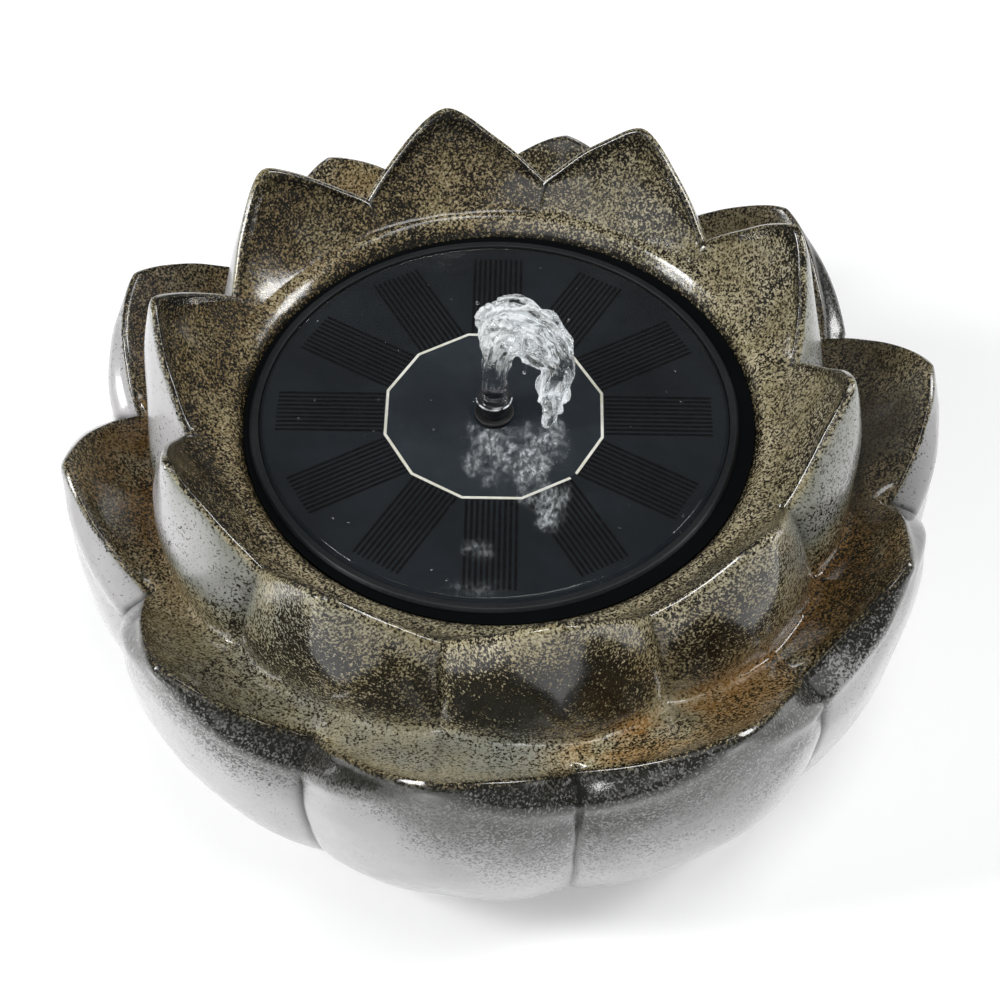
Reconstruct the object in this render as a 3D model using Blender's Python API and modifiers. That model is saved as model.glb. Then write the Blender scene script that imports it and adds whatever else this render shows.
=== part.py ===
"""Solar lotus fountain: a glazed stoneware lotus bowl, with a round solar pump floating in it.

Metres, +Z up. The origin is on the ground, at the centre of the outer ring of petals.
"""

from math import cos, pi, radians, sin, sqrt

import bmesh
import bpy
from mathutils import Matrix, Vector

COLLECTION_NAME = "solar_lotus_fountain"

# Bowl: driving dimensions. Heights are above the ground.
PETALS = 10
BOWL_STEPS = 80
WATERLINE = 0.110
OUTER_TIP_ANGLE = radians(9)
INNER_TIP_ANGLE = radians(27)
INNER_CENTRE = Vector((-0.0032, -0.0015, 0.0))
BASIN_RADIUS = 0.0825
BASIN_SHIFT = (0.0006, 0.0006)
BASIN_FLOOR = WATERLINE - 0.050
COLLAR_RADIUS = 0.0915
INNER_TIP = (0.1100, WATERLINE + 0.036)
INNER_NOTCH = (0.0998, WATERLINE + 0.008)
INNER_RISE = 0.005
VALLEY_RADIUS = 0.1165
VALLEY_HEIGHT = WATERLINE - 0.022
VALLEY_TILT = 0.007
OUTER_TIP = (0.1430, WATERLINE + 0.001)
OUTER_NOTCH = (0.1280, WATERLINE - 0.022)
OUTER_TILT = 0.006
OUTER_DROP = 0.002
# How much further out each outer petal reaches than the mean, counter-clockwise from OUTER_TIP_ANGLE.
OUTER_REACH = (0.0, -0.0015, -0.0005, 0.0005, 0.0020, 0.0, 0.0020, 0.0025, 0.0005, -0.0045)
RIM_HALF = 0.0017
SEAM_DEPTH = 0.0065
FOOT_OUTER = 0.098
FOOT_INNER = 0.088

# The bowl's outer wall: share of the drop from rim to ground, radius, and how deep the seam is there.
OUTER_WALL = (
    (0.10, 0.1448, 1.2),
    (0.24, 0.1452, 1.0),
    (0.44, 0.1434, 1.0),
    (0.64, 0.1386, 1.0),
    (0.82, 0.1298, 0.9),
    (0.94, 0.1165, 0.5),
)

# Its underside: radius, height, and share, which is 0 where a point turns about the basin's centre
# and 1 where it turns about the outer petals' centre.
UNDERSIDE = (
    (0.0900, 0.0010, 1.0),
    (0.1080, 0.0140, 1.0),
    (0.1220, 0.0320, 1.0),
    (0.1285, 0.0560, 1.0),
    (0.1240, 0.0700, 1.0),
    (0.1110, 0.0740, 0.5),
    (0.1000, 0.0980, 0.1),
    (0.0905, 0.0920, 0.0),
    (0.0895, 0.0680, 0.0),
    (0.0800, 0.0540, 0.0),
)

# Floating pump: heights are measured from the panel's top face, and are negative below it.
PUMP_AXIS = Vector((-0.0042, 0.0, WATERLINE))
FLOAT_RADIUS = 0.080
GAP = 0.0003
HOLE_RADIUS = 0.0063
PANEL_RADIUS = 0.0767
CELL_COUNT = 12
CELL_TURN = radians(13.9)
RIBBON_RADIUS = 0.0365
RIBBON_GAP_CORNER = 10
SCREW_COUNT = 4
SCREW_CIRCLE = 0.0310
POT_RADIUS = 0.0275
POT_WALL = 0.0020
ROTOR_OFFSET = 0.0125
SPIGOT_BORE = 0.0035
SHAFT_RADIUS = 0.0010
LUG_COUNT = 3

COLOURS = {
    "stoneware_glaze": ((0.34, 0.31, 0.22), 0.25, 0.0),
    "black_plastic": ((0.012, 0.012, 0.014), 0.35, 0.0),
    "grey_foam": ((0.10, 0.10, 0.11), 0.90, 0.0),
    "black_rubber": ((0.018, 0.018, 0.018), 0.75, 0.0),
    "circuit_board": ((0.02, 0.05, 0.09), 0.50, 0.0),
    "solar_silicon": ((0.010, 0.013, 0.020), 0.22, 0.0),
    "silver_ribbon": ((0.80, 0.80, 0.78), 0.30, 1.0),
    "clear_laminate": ((0.85, 0.90, 0.95), 0.05, 0.0),
    "sponge": ((0.03, 0.03, 0.03), 1.0, 0.0),
    "steel": ((0.60, 0.60, 0.62), 0.30, 1.0),
    "copper_wire": ((0.72, 0.32, 0.14), 0.35, 1.0),
    "epoxy": ((0.015, 0.015, 0.015), 0.20, 0.0),
    "ferrite": ((0.07, 0.07, 0.075), 0.55, 0.0),
    "white_ceramic": ((0.85, 0.84, 0.80), 0.25, 0.0),
    "red_lead": ((0.50, 0.02, 0.02), 0.45, 0.0),
    "black_lead": ((0.02, 0.02, 0.02), 0.45, 0.0),
}


# ---------------------------------------------------------------- scene and object helpers


def clear_scene():
    for old in list(bpy.data.objects):
        bpy.data.objects.remove(old, do_unlink=True)


def new_collection(name):
    collection = bpy.data.collections.new(name)
    bpy.context.scene.collection.children.link(collection)
    return collection


def make_material(name):
    colour, roughness, metallic = COLOURS[name]
    material = bpy.data.materials.new(name)
    material.use_nodes = True
    shader = material.node_tree.nodes["Principled BSDF"]
    shader.inputs["Base Color"].default_value = (*colour, 1.0)
    shader.inputs["Roughness"].default_value = roughness
    shader.inputs["Metallic"].default_value = metallic
    material.diffuse_color = (*colour, 1.0)
    return material


def make_empty(name, location, parent=None):
    empty = bpy.data.objects.new(name, None)
    empty.location = location
    empty.parent = parent
    PARTS.objects.link(empty)
    return empty


def add_part(name, mesh, material, parent, location=(0, 0, 0)):
    """Places a mesh as a named sub-part, and gives it its material."""
    mesh.materials.append(MATERIALS[material])
    part = bpy.data.objects.new(name, mesh)
    part.location = location
    part.parent = parent
    PARTS.objects.link(part)
    return part


def add_cutter(name, mesh, parent, location=(0, 0, 0)):
    """Places a mesh that only shapes other parts."""
    cutter = bpy.data.objects.new(name, mesh)
    cutter.location = location
    cutter.parent = parent
    cutter.hide_render = True
    cutter.display_type = "WIRE"
    CUTTERS.objects.link(cutter)
    return cutter


def cut(part, cutter):
    modifier = part.modifiers.new("cut_" + cutter.name, "BOOLEAN")
    modifier.operation = "DIFFERENCE"
    modifier.object = cutter


def unite(part, cutter):
    modifier = part.modifiers.new("add_" + cutter.name, "BOOLEAN")
    modifier.operation = "UNION"
    modifier.object = cutter


def smooth(mesh):
    mesh.shade_smooth()
    mesh.set_sharp_from_angle(angle=radians(35))


def cylinder_mesh(name, radius, low, high, sides=32, centre=(0, 0)):
    """A closed cylinder between two heights."""
    mesh = bpy.data.meshes.new(name)
    shape = bmesh.new()
    place = Matrix.Translation((centre[0], centre[1], (low + high) / 2))
    bmesh.ops.create_cone(
        shape,
        cap_ends=True,
        segments=sides,
        radius1=radius,
        radius2=radius,
        depth=high - low,
        matrix=place,
    )
    shape.to_mesh(mesh)
    shape.free()
    smooth(mesh)
    return mesh


def box_mesh(name, low, high, turn=0.0):
    """A closed box between two corners, turned about the local Z axis."""
    return boxes_mesh(name, [(low, high, turn)])


def boxes_mesh(name, boxes):
    """Several separate boxes in one mesh, each turned about the local Z axis."""
    mesh = bpy.data.meshes.new(name)
    shape = bmesh.new()
    for low, high, turn in boxes:
        low, high = Vector(low), Vector(high)
        size = Matrix.Diagonal((*(high - low), 1.0))
        place = Matrix.Rotation(turn, 4, "Z") @ Matrix.Translation((low + high) / 2)
        bmesh.ops.create_cube(shape, size=1.0, matrix=place @ size)
    shape.to_mesh(mesh)
    shape.free()
    return mesh


def turned_part(name, profile, material, parent, steps=48, location=(0, 0, 0)):
    """Turns a closed profile of (radius, height) points about the local Z axis.

    The profile runs down its outer side and back up its inner side.
    """
    mesh = bpy.data.meshes.new(name)
    points = [(radius, 0.0, height) for radius, height in profile]
    count = len(points)
    mesh.from_pydata(points, [(i, (i + 1) % count) for i in range(count)], [])
    part = add_part(name, mesh, material, parent, location)
    screw = part.modifiers.new("turn", "SCREW")
    screw.steps = steps
    screw.render_steps = steps
    screw.use_merge_vertices = True
    screw.merge_threshold = 0.00001
    screw.use_smooth_shade = True
    return part


def ring_part(name, inner, outer, low, high, material, parent, steps=48, location=(0, 0, 0)):
    profile = [(outer, high), (outer, low), (inner, low), (inner, high)]
    return turned_part(name, profile, material, parent, steps, location)


def curve_part(name, points, radius, material, parent):
    """A round wire through the given points."""
    curve = bpy.data.curves.new(name, "CURVE")
    curve.dimensions = "3D"
    curve.bevel_depth = radius
    curve.bevel_resolution = 2
    curve.use_fill_caps = True
    spline = curve.splines.new("POLY")
    spline.points.add(len(points) - 1)
    for point, place in zip(spline.points, points):
        point.co = (*place, 1.0)
    curve.materials.append(MATERIALS[material])
    wire = bpy.data.objects.new(name, curve)
    wire.parent = parent
    PARTS.objects.link(wire)
    return wire


def flat_part(name, outline, low, high, material, parent):
    """A flat plate: a closed outline of (x, y) points, extruded between two heights."""
    curve = bpy.data.curves.new(name, "CURVE")
    curve.dimensions = "2D"
    curve.fill_mode = "BOTH"
    curve.extrude = (high - low) / 2
    spline = curve.splines.new("POLY")
    spline.points.add(len(outline) - 1)
    for point, (x, y) in zip(spline.points, outline):
        point.co = (x, y, 0.0, 1.0)
    spline.use_cyclic_u = True
    curve.materials.append(MATERIALS[material])
    plate = bpy.data.objects.new(name, curve)
    plate.location = (0, 0, (low + high) / 2)
    plate.parent = parent
    PARTS.objects.link(plate)
    return plate


def polar(radius, angle):
    return radius * cos(angle), radius * sin(angle)


# ---------------------------------------------------------------- lotus bowl


def mix(first, second, share):
    return first + (second - first) * share


def mix_points(first, second, share):
    return mix(first[0], second[0], share), mix(first[1], second[1], share)


def petal_wave(angle, tip_angle):
    """0 on a petal's centre line, rising to 1 at the notch on either side of it."""
    turn = (angle - tip_angle) * PETALS / (2 * pi)
    return 2 * abs(turn - round(turn))


def pointed(wave, rounding):
    """Falls away from a petal's tip in a straight line, with the point itself rounded."""
    return (sqrt(wave**2 + rounding**2) - rounding) / (sqrt(1 + rounding**2) - rounding)


def petal_reach(angle):
    """The reach of the outer petal that this angle falls in."""
    return OUTER_REACH[round((angle - OUTER_TIP_ANGLE) * PETALS / (2 * pi)) % PETALS]


def petal_middle(outer_wave):
    """1 along an outer petal's centre line, 0 at the notches."""
    return 1 - outer_wave**2


def bowl_section(angle):
    """The bowl's closed section at one angle, as (radius, height, share) points.

    It runs from the basin's floor, up and over both rings of petals, down the outside to the foot,
    and back underneath. The share is 0 where a point turns about the basin's centre and 1 where it
    turns about the outer petals' centre. The outer rim and the valley lie a little lower at the
    back, at +Y, than at the front, and the inner notches lie lowest at the sides.
    """
    inner_wave = petal_wave(angle, INNER_TIP_ANGLE)
    outer_wave = 1 - inner_wave
    inner_fall = pointed(inner_wave, 0.12)
    outer_fall = outer_wave**1.35
    inner_notch = (INNER_NOTCH[0], INNER_NOTCH[1] + INNER_RISE * sin(angle) ** 2)
    inner_rim = mix_points(INNER_TIP, inner_notch, inner_fall)
    outer_rim = mix_points(OUTER_TIP, OUTER_NOTCH, outer_fall)
    reach = petal_reach(angle) * petal_middle(outer_wave)
    dip = OUTER_TILT * sin(angle) + OUTER_DROP * cos(angle) ** 2
    outer_rim = (outer_rim[0] + reach, outer_rim[1] - dip)
    shift = BASIN_SHIFT[0] * cos(angle) + BASIN_SHIFT[1] * sin(angle)
    inner_seam = inner_wave**4
    outer_seam = SEAM_DEPTH * outer_wave**2.4
    valley = (VALLEY_RADIUS - 0.003 * inner_seam, VALLEY_HEIGHT - VALLEY_TILT * sin(angle))
    collar = (COLLAR_RADIUS, WATERLINE + 0.006 - 0.001 * inner_wave)

    points = [
        (BASIN_RADIUS - 0.012, BASIN_FLOOR, 0.0),
        (BASIN_RADIUS + shift, BASIN_FLOOR + 0.010, 0.0),
        (BASIN_RADIUS + shift, WATERLINE - 0.005, 0.0),
        (BASIN_RADIUS + shift + 0.002, WATERLINE - 0.001, 0.0),
        (*collar, 0.0),
    ]
    # The inner petals' cupped faces, from the collar up to the rim.
    for share in (0.35, 0.7):
        radius, height = mix_points(collar, inner_rim, share)
        points.append((radius + 0.0018 * (1 - inner_seam) * sin(pi * share), height, 0.0))
    points.append((inner_rim[0] - RIM_HALF, inner_rim[1] - 0.0007, 0.0))
    points.append((inner_rim[0] + RIM_HALF, inner_rim[1] - 0.0010, 0.0))
    # Their bulging backs, from the rim down to the valley.
    for share in (0.2, 0.45, 0.75):
        radius, height = mix_points(inner_rim, valley, share)
        bulge = 0.0026 * (1 - inner_seam) * sin(pi * share)
        points.append((radius + bulge + RIM_HALF * (1 - share), height, 0.2 * share))
    points.append((*valley, 0.3))
    # The outer petals' cupped faces, from the valley up to the rim.
    for share in (0.35, 0.7):
        radius, height = mix_points(valley, outer_rim, share)
        sag = 0.0035 * petal_middle(outer_wave) * sin(pi * share)
        points.append((radius, height - sag, 0.3 + 0.7 * share))
    points.append((outer_rim[0] - RIM_HALF, outer_rim[1] - 0.0005, 1.0))
    points.append((outer_rim[0] + RIM_HALF, outer_rim[1] - 0.0012, 1.0))
    # The outer wall, with a seam below each notch that fades out towards the foot.
    for share, radius, seam in OUTER_WALL:
        height = mix(outer_rim[1], 0.0, share)
        points.append((radius + reach * (1 - share) - outer_seam * seam, height, 1.0))
    points.append((FOOT_OUTER, 0.0, 1.0))
    points.append((FOOT_INNER, 0.0, 1.0))
    # The open underside: the wall's inner face, the roof below the valley, the basin's outside.
    points += UNDERSIDE
    return points


def section_place(radius, height, share, angle):
    x, y = polar(radius, angle)
    centre = INNER_CENTRE * (1 - share)
    return centre.x + x, centre.y + y, height


def make_lotus_bowl():
    """A loft through the bowl's sections, one for each step round, closed by the two floor centres."""
    shape = bmesh.new()
    rings = []
    for step in range(BOWL_STEPS):
        angle = OUTER_TIP_ANGLE + 2 * pi * step / BOWL_STEPS
        section = bowl_section(angle)
        rings.append([shape.verts.new(section_place(*point, angle)) for point in section])
    basin_middle = shape.verts.new((INNER_CENTRE.x, INNER_CENTRE.y, BASIN_FLOOR))
    under_middle = shape.verts.new((INNER_CENTRE.x, INNER_CENTRE.y, UNDERSIDE[-1][1]))
    for step, ring in enumerate(rings):
        following = rings[(step + 1) % BOWL_STEPS]
        for low, high, next_high, next_low in zip(ring, ring[1:], following[1:], following):
            shape.faces.new((low, high, next_high, next_low))
        shape.faces.new((basin_middle, ring[0], following[0]))
        shape.faces.new((under_middle, following[-1], ring[-1]))
    bmesh.ops.recalc_face_normals(shape, faces=shape.faces)
    mesh = bpy.data.meshes.new("lotus_bowl")
    shape.to_mesh(mesh)
    shape.free()
    smooth(mesh)
    return add_part("lotus_bowl", mesh, "stoneware_glaze", None)


# ---------------------------------------------------------------- float and solar panel


def make_float_shell(pump):
    """The round black dish that floats: a raised lip, a ledge for the panel, and a flat floor."""
    profile = [
        (FLOAT_RADIUS - 0.0008, 0.0006),
        (FLOAT_RADIUS, -0.0002),
        (FLOAT_RADIUS, -0.0070),
        (FLOAT_RADIUS - 0.0020, -0.0120),
        (FLOAT_RADIUS - 0.0075, -0.0162),
        (0.0260, -0.0162),
        (0.0260, -0.0142),
        (FLOAT_RADIUS - 0.0085, -0.0142),
        (FLOAT_RADIUS - 0.0062, -0.0120),
        (FLOAT_RADIUS - 0.0062, -0.0042),
        (FLOAT_RADIUS - 0.0030, -0.0042),
        (FLOAT_RADIUS - 0.0030, 0.0006),
    ]
    shell = turned_part("float_shell", profile, "black_plastic", pump, steps=48)
    for index in range(SCREW_COUNT):
        centre = polar(SCREW_CIRCLE, screw_angle(index))
        boss = cylinder_mesh("boss", 0.0030, -0.0155, -0.0070, 16, centre)
        unite(shell, add_cutter(f"float_boss_{index + 1}", boss, pump))
    for index in range(SCREW_COUNT):
        centre = polar(SCREW_CIRCLE, screw_angle(index))
        pilot = cylinder_mesh("pilot", 0.0014, -0.0180, -0.0085, 12, centre)
        cut(shell, add_cutter(f"float_pilot_{index + 1}", pilot, pump))


def screw_angle(index):
    return radians(45) + 2 * pi * index / SCREW_COUNT


def make_solar_cell(index, pump):
    """One of twelve flat cells, between the bus ribbon's side and the panel's edge."""
    middle = CELL_TURN + 2 * pi * (index + 0.5) / CELL_COUNT
    half = pi / CELL_COUNT
    apothem = (RIBBON_RADIUS + 0.0012) * cos(half)
    outer_radius = PANEL_RADIUS - 0.0022
    edge_gap = 0.0004
    inner_half = apothem * sin(half) / cos(half) - edge_gap
    outline = [(apothem, -inner_half), (apothem, inner_half)]
    outer_steps = 4
    reach = half - edge_gap / outer_radius
    for step in range(outer_steps + 1):
        outline.append(polar(outer_radius, reach - 2 * reach * step / outer_steps))
    turn = Matrix.Rotation(middle, 2)
    turned = [turn @ Vector(point) for point in outline]
    flat_part(f"solar_cell_{index + 1:02d}", turned, -0.0015, -0.0011, "solar_silicon", pump)


def make_bus_ribbon(pump):
    """A flat silver ribbon along a twelve-sided ring, open at one corner."""
    outline_outer = []
    outline_inner = []
    half_width = 0.00045
    for corner in range(CELL_COUNT + 1):
        angle = CELL_TURN + 2 * pi * (corner + RIBBON_GAP_CORNER) / CELL_COUNT
        if corner == 0:
            angle += radians(0.8)
        if corner == CELL_COUNT:
            angle -= radians(0.8)
        outline_outer.append(polar(RIBBON_RADIUS + half_width, angle))
        outline_inner.append(polar(RIBBON_RADIUS - half_width, angle))
    flat_part("bus_ribbon", outline_outer + outline_inner[::-1], -0.0015, -0.0013, "silver_ribbon", pump)


def make_panel(pump):
    ring_part("panel_gasket", 0.0742, PANEL_RADIUS, -0.0039, -0.0031, "black_rubber", pump, steps=48)
    ring_part("panel_board", HOLE_RADIUS, PANEL_RADIUS, -0.0028, -0.0018, "circuit_board", pump, steps=48)
    for index in range(CELL_COUNT):
        make_solar_cell(index, pump)
    make_bus_ribbon(pump)
    ring_part("clear_laminate", HOLE_RADIUS, PANEL_RADIUS, -0.0008, 0.0, "clear_laminate", pump, steps=48)
    ring_part("foam_ring", 0.0360, 0.0710, -0.0138, -0.0045, "grey_foam", pump, steps=48)


def make_nozzle_grommet(pump):
    """The soft bush that seals the panel's middle hole round the outlet, with a lip on top."""
    profile = [
        (0.0068, 0.0012),
        (0.0074, 0.0003),
        (0.0060, 0.0003),
        (0.0060, -0.0040),
        (0.0038, -0.0040),
        (0.0038, 0.0004),
        (0.0062, 0.0006),
    ]
    turned_part("nozzle_grommet", profile, "black_rubber", pump, steps=32)


def make_nozzle(nozzle):
    """The short jet nozzle: a stub above the panel and a plug in the pump's outlet."""
    profile = [
        (0.0034, 0.0096),
        (0.0044, 0.0092),
        (0.0047, 0.0084),
        (0.0047, 0.0026),
        (0.0057, 0.0022),
        (0.0057, 0.0010),
        (0.0032, 0.0007),
        (0.0032, -0.0130),
        (0.0022, -0.0130),
        (0.0022, 0.0096),
    ]
    turned_part("jet_nozzle", profile, "black_plastic", nozzle, steps=24)


# ---------------------------------------------------------------- pump body and motor


def make_pump_housing(pump):
    """The pump's body: a pot for the motor, a dry wall round the rotor, the outlet and the volute."""
    floor, roof = -0.0330, -0.0310
    rotor = (ROTOR_OFFSET, 0.0)
    profile = [
        (0.0350, -0.0173),
        (0.0350, -0.0193),
        (POT_RADIUS, -0.0193),
        (POT_RADIUS, floor),
        (0.0, floor),
        (0.0, roof),
        (POT_RADIUS - POT_WALL, roof),
        (POT_RADIUS - POT_WALL, -0.0173),
    ]
    housing = turned_part("pump_housing", profile, "black_plastic", pump, steps=48)
    volute = cylinder_mesh("volute", 0.0135, -0.0410, -0.0325, 32, rotor)
    passage = box_mesh("passage", (-0.0055, -0.0055, -0.0400), (ROTOR_OFFSET, 0.0055, -0.0325))
    well = cylinder_mesh("well", 0.0073, -0.0320, -0.0225, 32, rotor)
    spigot = cylinder_mesh("spigot", 0.0049, -0.0320, -0.0045, 24)
    unite(housing, add_cutter("volute_body", volute, pump))
    unite(housing, add_cutter("passage_body", passage, pump))
    unite(housing, add_cutter("rotor_well_body", well, pump))
    unite(housing, add_cutter("outlet_spigot", spigot, pump))
    for index in range(LUG_COUNT):
        lug = box_mesh(
            "lug",
            (POT_RADIUS - 0.0010, -0.0036, -0.0286),
            (POT_RADIUS + 0.0014, 0.0036, -0.0270),
            lug_angle(index),
        )
        unite(housing, add_cutter(f"housing_lug_{index + 1}", lug, pump))
    well_bore = cylinder_mesh("well_bore", 0.0060, -0.0345, -0.0240, 32, rotor)
    impeller_room = cylinder_mesh("room", 0.0105, -0.0400, -0.0340, 32, rotor)
    cover_seat = cylinder_mesh("seat", 0.0120, -0.0420, -0.0390, 32, rotor)
    channel = box_mesh("channel", (-0.0036, -0.0036, -0.0385), (ROTOR_OFFSET, 0.0036, -0.0345))
    outlet_bore = cylinder_mesh("bore", SPIGOT_BORE, -0.0360, -0.0030, 24)
    cut(housing, add_cutter("rotor_well", well_bore, pump))
    cut(housing, add_cutter("impeller_room", impeller_room, pump))
    cut(housing, add_cutter("cover_seat", cover_seat, pump))
    cut(housing, add_cutter("outlet_channel", channel, pump))
    cut(housing, add_cutter("outlet_bore", outlet_bore, pump))
    for index in range(SCREW_COUNT):
        centre = polar(SCREW_CIRCLE, screw_angle(index))
        hole = cylinder_mesh("hole", 0.0016, -0.0210, -0.0160, 12, centre)
        cut(housing, add_cutter(f"flange_hole_{index + 1}", hole, pump))


def lug_angle(index):
    return radians(180) + 2 * pi * index / LUG_COUNT


def make_housing_screw(index, pump):
    """A pan-head screw, from below the flange up into the float shell's boss."""
    profile = [
        (0.0, -0.0094),
        (0.0006, -0.0094),
        (0.0010, -0.0102),
        (0.0010, -0.0196),
        (0.0026, -0.0196),
        (0.0026, -0.0206),
        (0.0018, -0.0212),
        (0.0, -0.0212),
    ]
    centre = (*polar(SCREW_CIRCLE, screw_angle(index)), 0.0)
    turned_part(f"housing_screw_{index + 1}", profile, "steel", pump, steps=12, location=centre)


def make_motor(pump):
    """The dry half of the motor, in the pot: a U-shaped core, two coils, the driver board, potting."""
    plate_stack = box_mesh("core", (-0.0180, -0.0135, -0.0290), (0.0205, 0.0135, -0.0240))
    core = add_part("stator_core", plate_stack, "steel", pump)
    slot = box_mesh("slot", (-0.0140, -0.0084, -0.0310), (0.0060, 0.0084, -0.0220))
    mouth = box_mesh("mouth", (0.0050, -0.0030, -0.0310), (0.0220, 0.0030, -0.0220))
    round_mouth = cylinder_mesh("round_mouth", 0.0077, -0.0310, -0.0220, 32, (ROTOR_OFFSET, 0.0))
    cut(core, add_cutter("core_slot", slot, pump))
    cut(core, add_cutter("core_mouth", mouth, pump))
    cut(core, add_cutter("core_round_mouth", round_mouth, pump))
    for index, side in enumerate((-1, 1)):
        low, high = sorted((side * 0.0062, side * 0.0157))
        winding = box_mesh("coil", (-0.0120, low, -0.0306), (0.0030, high, -0.0224))
        coil = add_part(f"stator_coil_{index + 1}", winding, "copper_wire", pump)
        rounding = coil.modifiers.new("rounding", "BEVEL")
        rounding.width = 0.0012
        rounding.segments = 2
        low, high = sorted((side * 0.0081, side * 0.0138))
        window = box_mesh("window", (-0.0140, low, -0.0293), (0.0050, high, -0.0237))
        cut(coil, add_cutter(f"coil_window_{index + 1}", window, pump))
    pot_inner = POT_RADIUS - POT_WALL
    board_radius = pot_inner - 0.0008
    ring_part("driver_board", 0.0054, board_radius, -0.0218, -0.0206, "circuit_board", pump, 32)
    potting = ring_part("potting", 0.0052, pot_inner - GAP, -0.0202, -0.0176, "epoxy", pump, 32)
    for index, side in enumerate((-1, 1)):
        hole = cylinder_mesh("lead_hole", 0.0011, -0.0210, -0.0160, 12, (-0.0120, side * 0.0025))
        cut(potting, add_cutter(f"potting_hole_{index + 1}", hole, pump))
    ring_part("flange_gasket", 0.0262, 0.0284, -0.0170, -0.0165, "black_rubber", pump, steps=32)


def make_leads(pump):
    """The panel's two leads, bowed between the driver board and the underside of the panel."""
    leads = (("positive_lead", 1, "red_lead"), ("negative_lead", -1, "black_lead"))
    for name, side, material in leads:
        steps = 10
        points = []
        for step in range(steps + 1):
            share = step / steps
            height = mix(-0.0203, -0.0031, share)
            bow = 0.0030 * sin(pi * max(0.0, share - 0.25) / 0.75) ** 2
            points.append((-0.0120 - bow, side * (0.0025 + bow), height))
        curve_part(name, points, 0.0007, material, pump)


def make_shaft_and_seats(pump):
    axis = (ROTOR_OFFSET, 0.0, 0.0)
    shaft = cylinder_mesh("shaft", SHAFT_RADIUS, -0.0398, -0.0246, 20)
    add_part("rotor_shaft", shaft, "white_ceramic", pump, axis)
    ring_part("upper_shaft_seat", 0.0013, 0.0026, -0.0262, -0.0243, "black_rubber", pump, 20, axis)
    ring_part("lower_shaft_seat", 0.0013, 0.0022, -0.0400, -0.0388, "black_rubber", pump, 20, axis)


def make_impeller_cover(pump):
    """The plate below the impeller: an inlet ring, three spokes and a middle boss."""
    axis = (ROTOR_OFFSET, 0.0, 0.0)
    cover = ring_part("impeller_cover", 0.0062, 0.0117, -0.0406, -0.0392, "black_plastic", pump, 32, axis)
    spokes = boxes_mesh("spokes", [((0.0028, -0.0007, -0.0404), (0.0070, 0.0007, -0.0394), 0.0)])
    for index in range(LUG_COUNT):
        spoke = add_cutter(f"cover_spoke_{index + 1}", spokes, pump, axis)
        spoke.rotation_euler.z = 2 * pi * index / LUG_COUNT + radians(60)
        unite(cover, spoke)
    hub = cylinder_mesh("hub", 0.0036, -0.0406, -0.0392, 20)
    unite(cover, add_cutter("cover_hub", hub, pump, axis))
    hub_bore = cylinder_mesh("hub_bore", 0.0025, -0.0420, -0.0380, 20)
    cut(cover, add_cutter("cover_hub_bore", hub_bore, pump, axis))


# ---------------------------------------------------------------- rotor and strainer


def make_rotor(rotor):
    """The wet half of the motor: a ring magnet on the impeller's sleeve, running on the shaft."""
    ring_part("rotor_magnet", 0.0023, 0.0054, -0.0342, -0.0272, "ferrite", rotor, 32)
    profile = [
        (0.0020, -0.0270),
        (0.0020, -0.0348),
        (0.0093, -0.0348),
        (0.0093, -0.0358),
        (0.0024, -0.0358),
        (0.0020, -0.0380),
        (SHAFT_RADIUS + 0.00006, -0.0380),
        (SHAFT_RADIUS + 0.00006, -0.0270),
    ]
    impeller = turned_part("impeller", profile, "white_ceramic", rotor, 32)
    blade = box_mesh("blade", (0.0018, -0.0005, -0.0382), (0.0090, 0.0005, -0.0356))
    blade_count = 6
    for index in range(blade_count):
        vane = add_cutter(f"impeller_vane_{index + 1}", blade, rotor)
        vane.rotation_euler.z = 2 * pi * index / blade_count
        unite(impeller, vane)


def make_strainer(strainer):
    """The slotted cup that keeps dirt out, held by three lugs, and the sponge inside it."""
    skirt_inner, skirt_outer = 0.0293, 0.0312
    profile = [
        (skirt_outer, -0.0240),
        (skirt_outer, -0.0440),
        (skirt_outer - 0.0030, -0.0470),
        (0.0, -0.0470),
        (0.0, -0.0454),
        (skirt_inner - 0.0020, -0.0454),
        (skirt_inner, -0.0434),
        (skirt_inner, -0.0240),
    ]
    cup = turned_part("strainer_cup", profile, "black_plastic", strainer, steps=48)
    for index in range(LUG_COUNT):
        low, high = (0.0279, -0.0030, -0.0266), (0.0300, 0.0030, -0.0250)
        lug = box_mesh("lug", low, high, lug_angle(index))
        unite(cup, add_cutter(f"strainer_lug_{index + 1}", lug, strainer))
    slot_count = 16
    side_slots = []
    for index in range(slot_count):
        turn = 2 * pi * (index + 0.5) / slot_count
        side_slots.append(((0.0270, -0.0012, -0.0425), (0.0330, 0.0012, -0.0320), turn))
    cut(cup, add_cutter("strainer_side_slots", boxes_mesh("side_slots", side_slots), strainer))
    floor_slots = []
    for index in range(slot_count // 2):
        turn = 4 * pi * index / slot_count
        floor_slots.append(((0.0080, -0.0012, -0.0480), (0.0240, 0.0012, -0.0440), turn))
    cut(cup, add_cutter("strainer_floor_slots", boxes_mesh("floor_slots", floor_slots), strainer))
    sponge = cylinder_mesh("sponge", 0.0270, -0.0451, -0.0414, 32)
    add_part("sponge_filter", sponge, "sponge", strainer)


# ---------------------------------------------------------------- whole object


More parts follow.
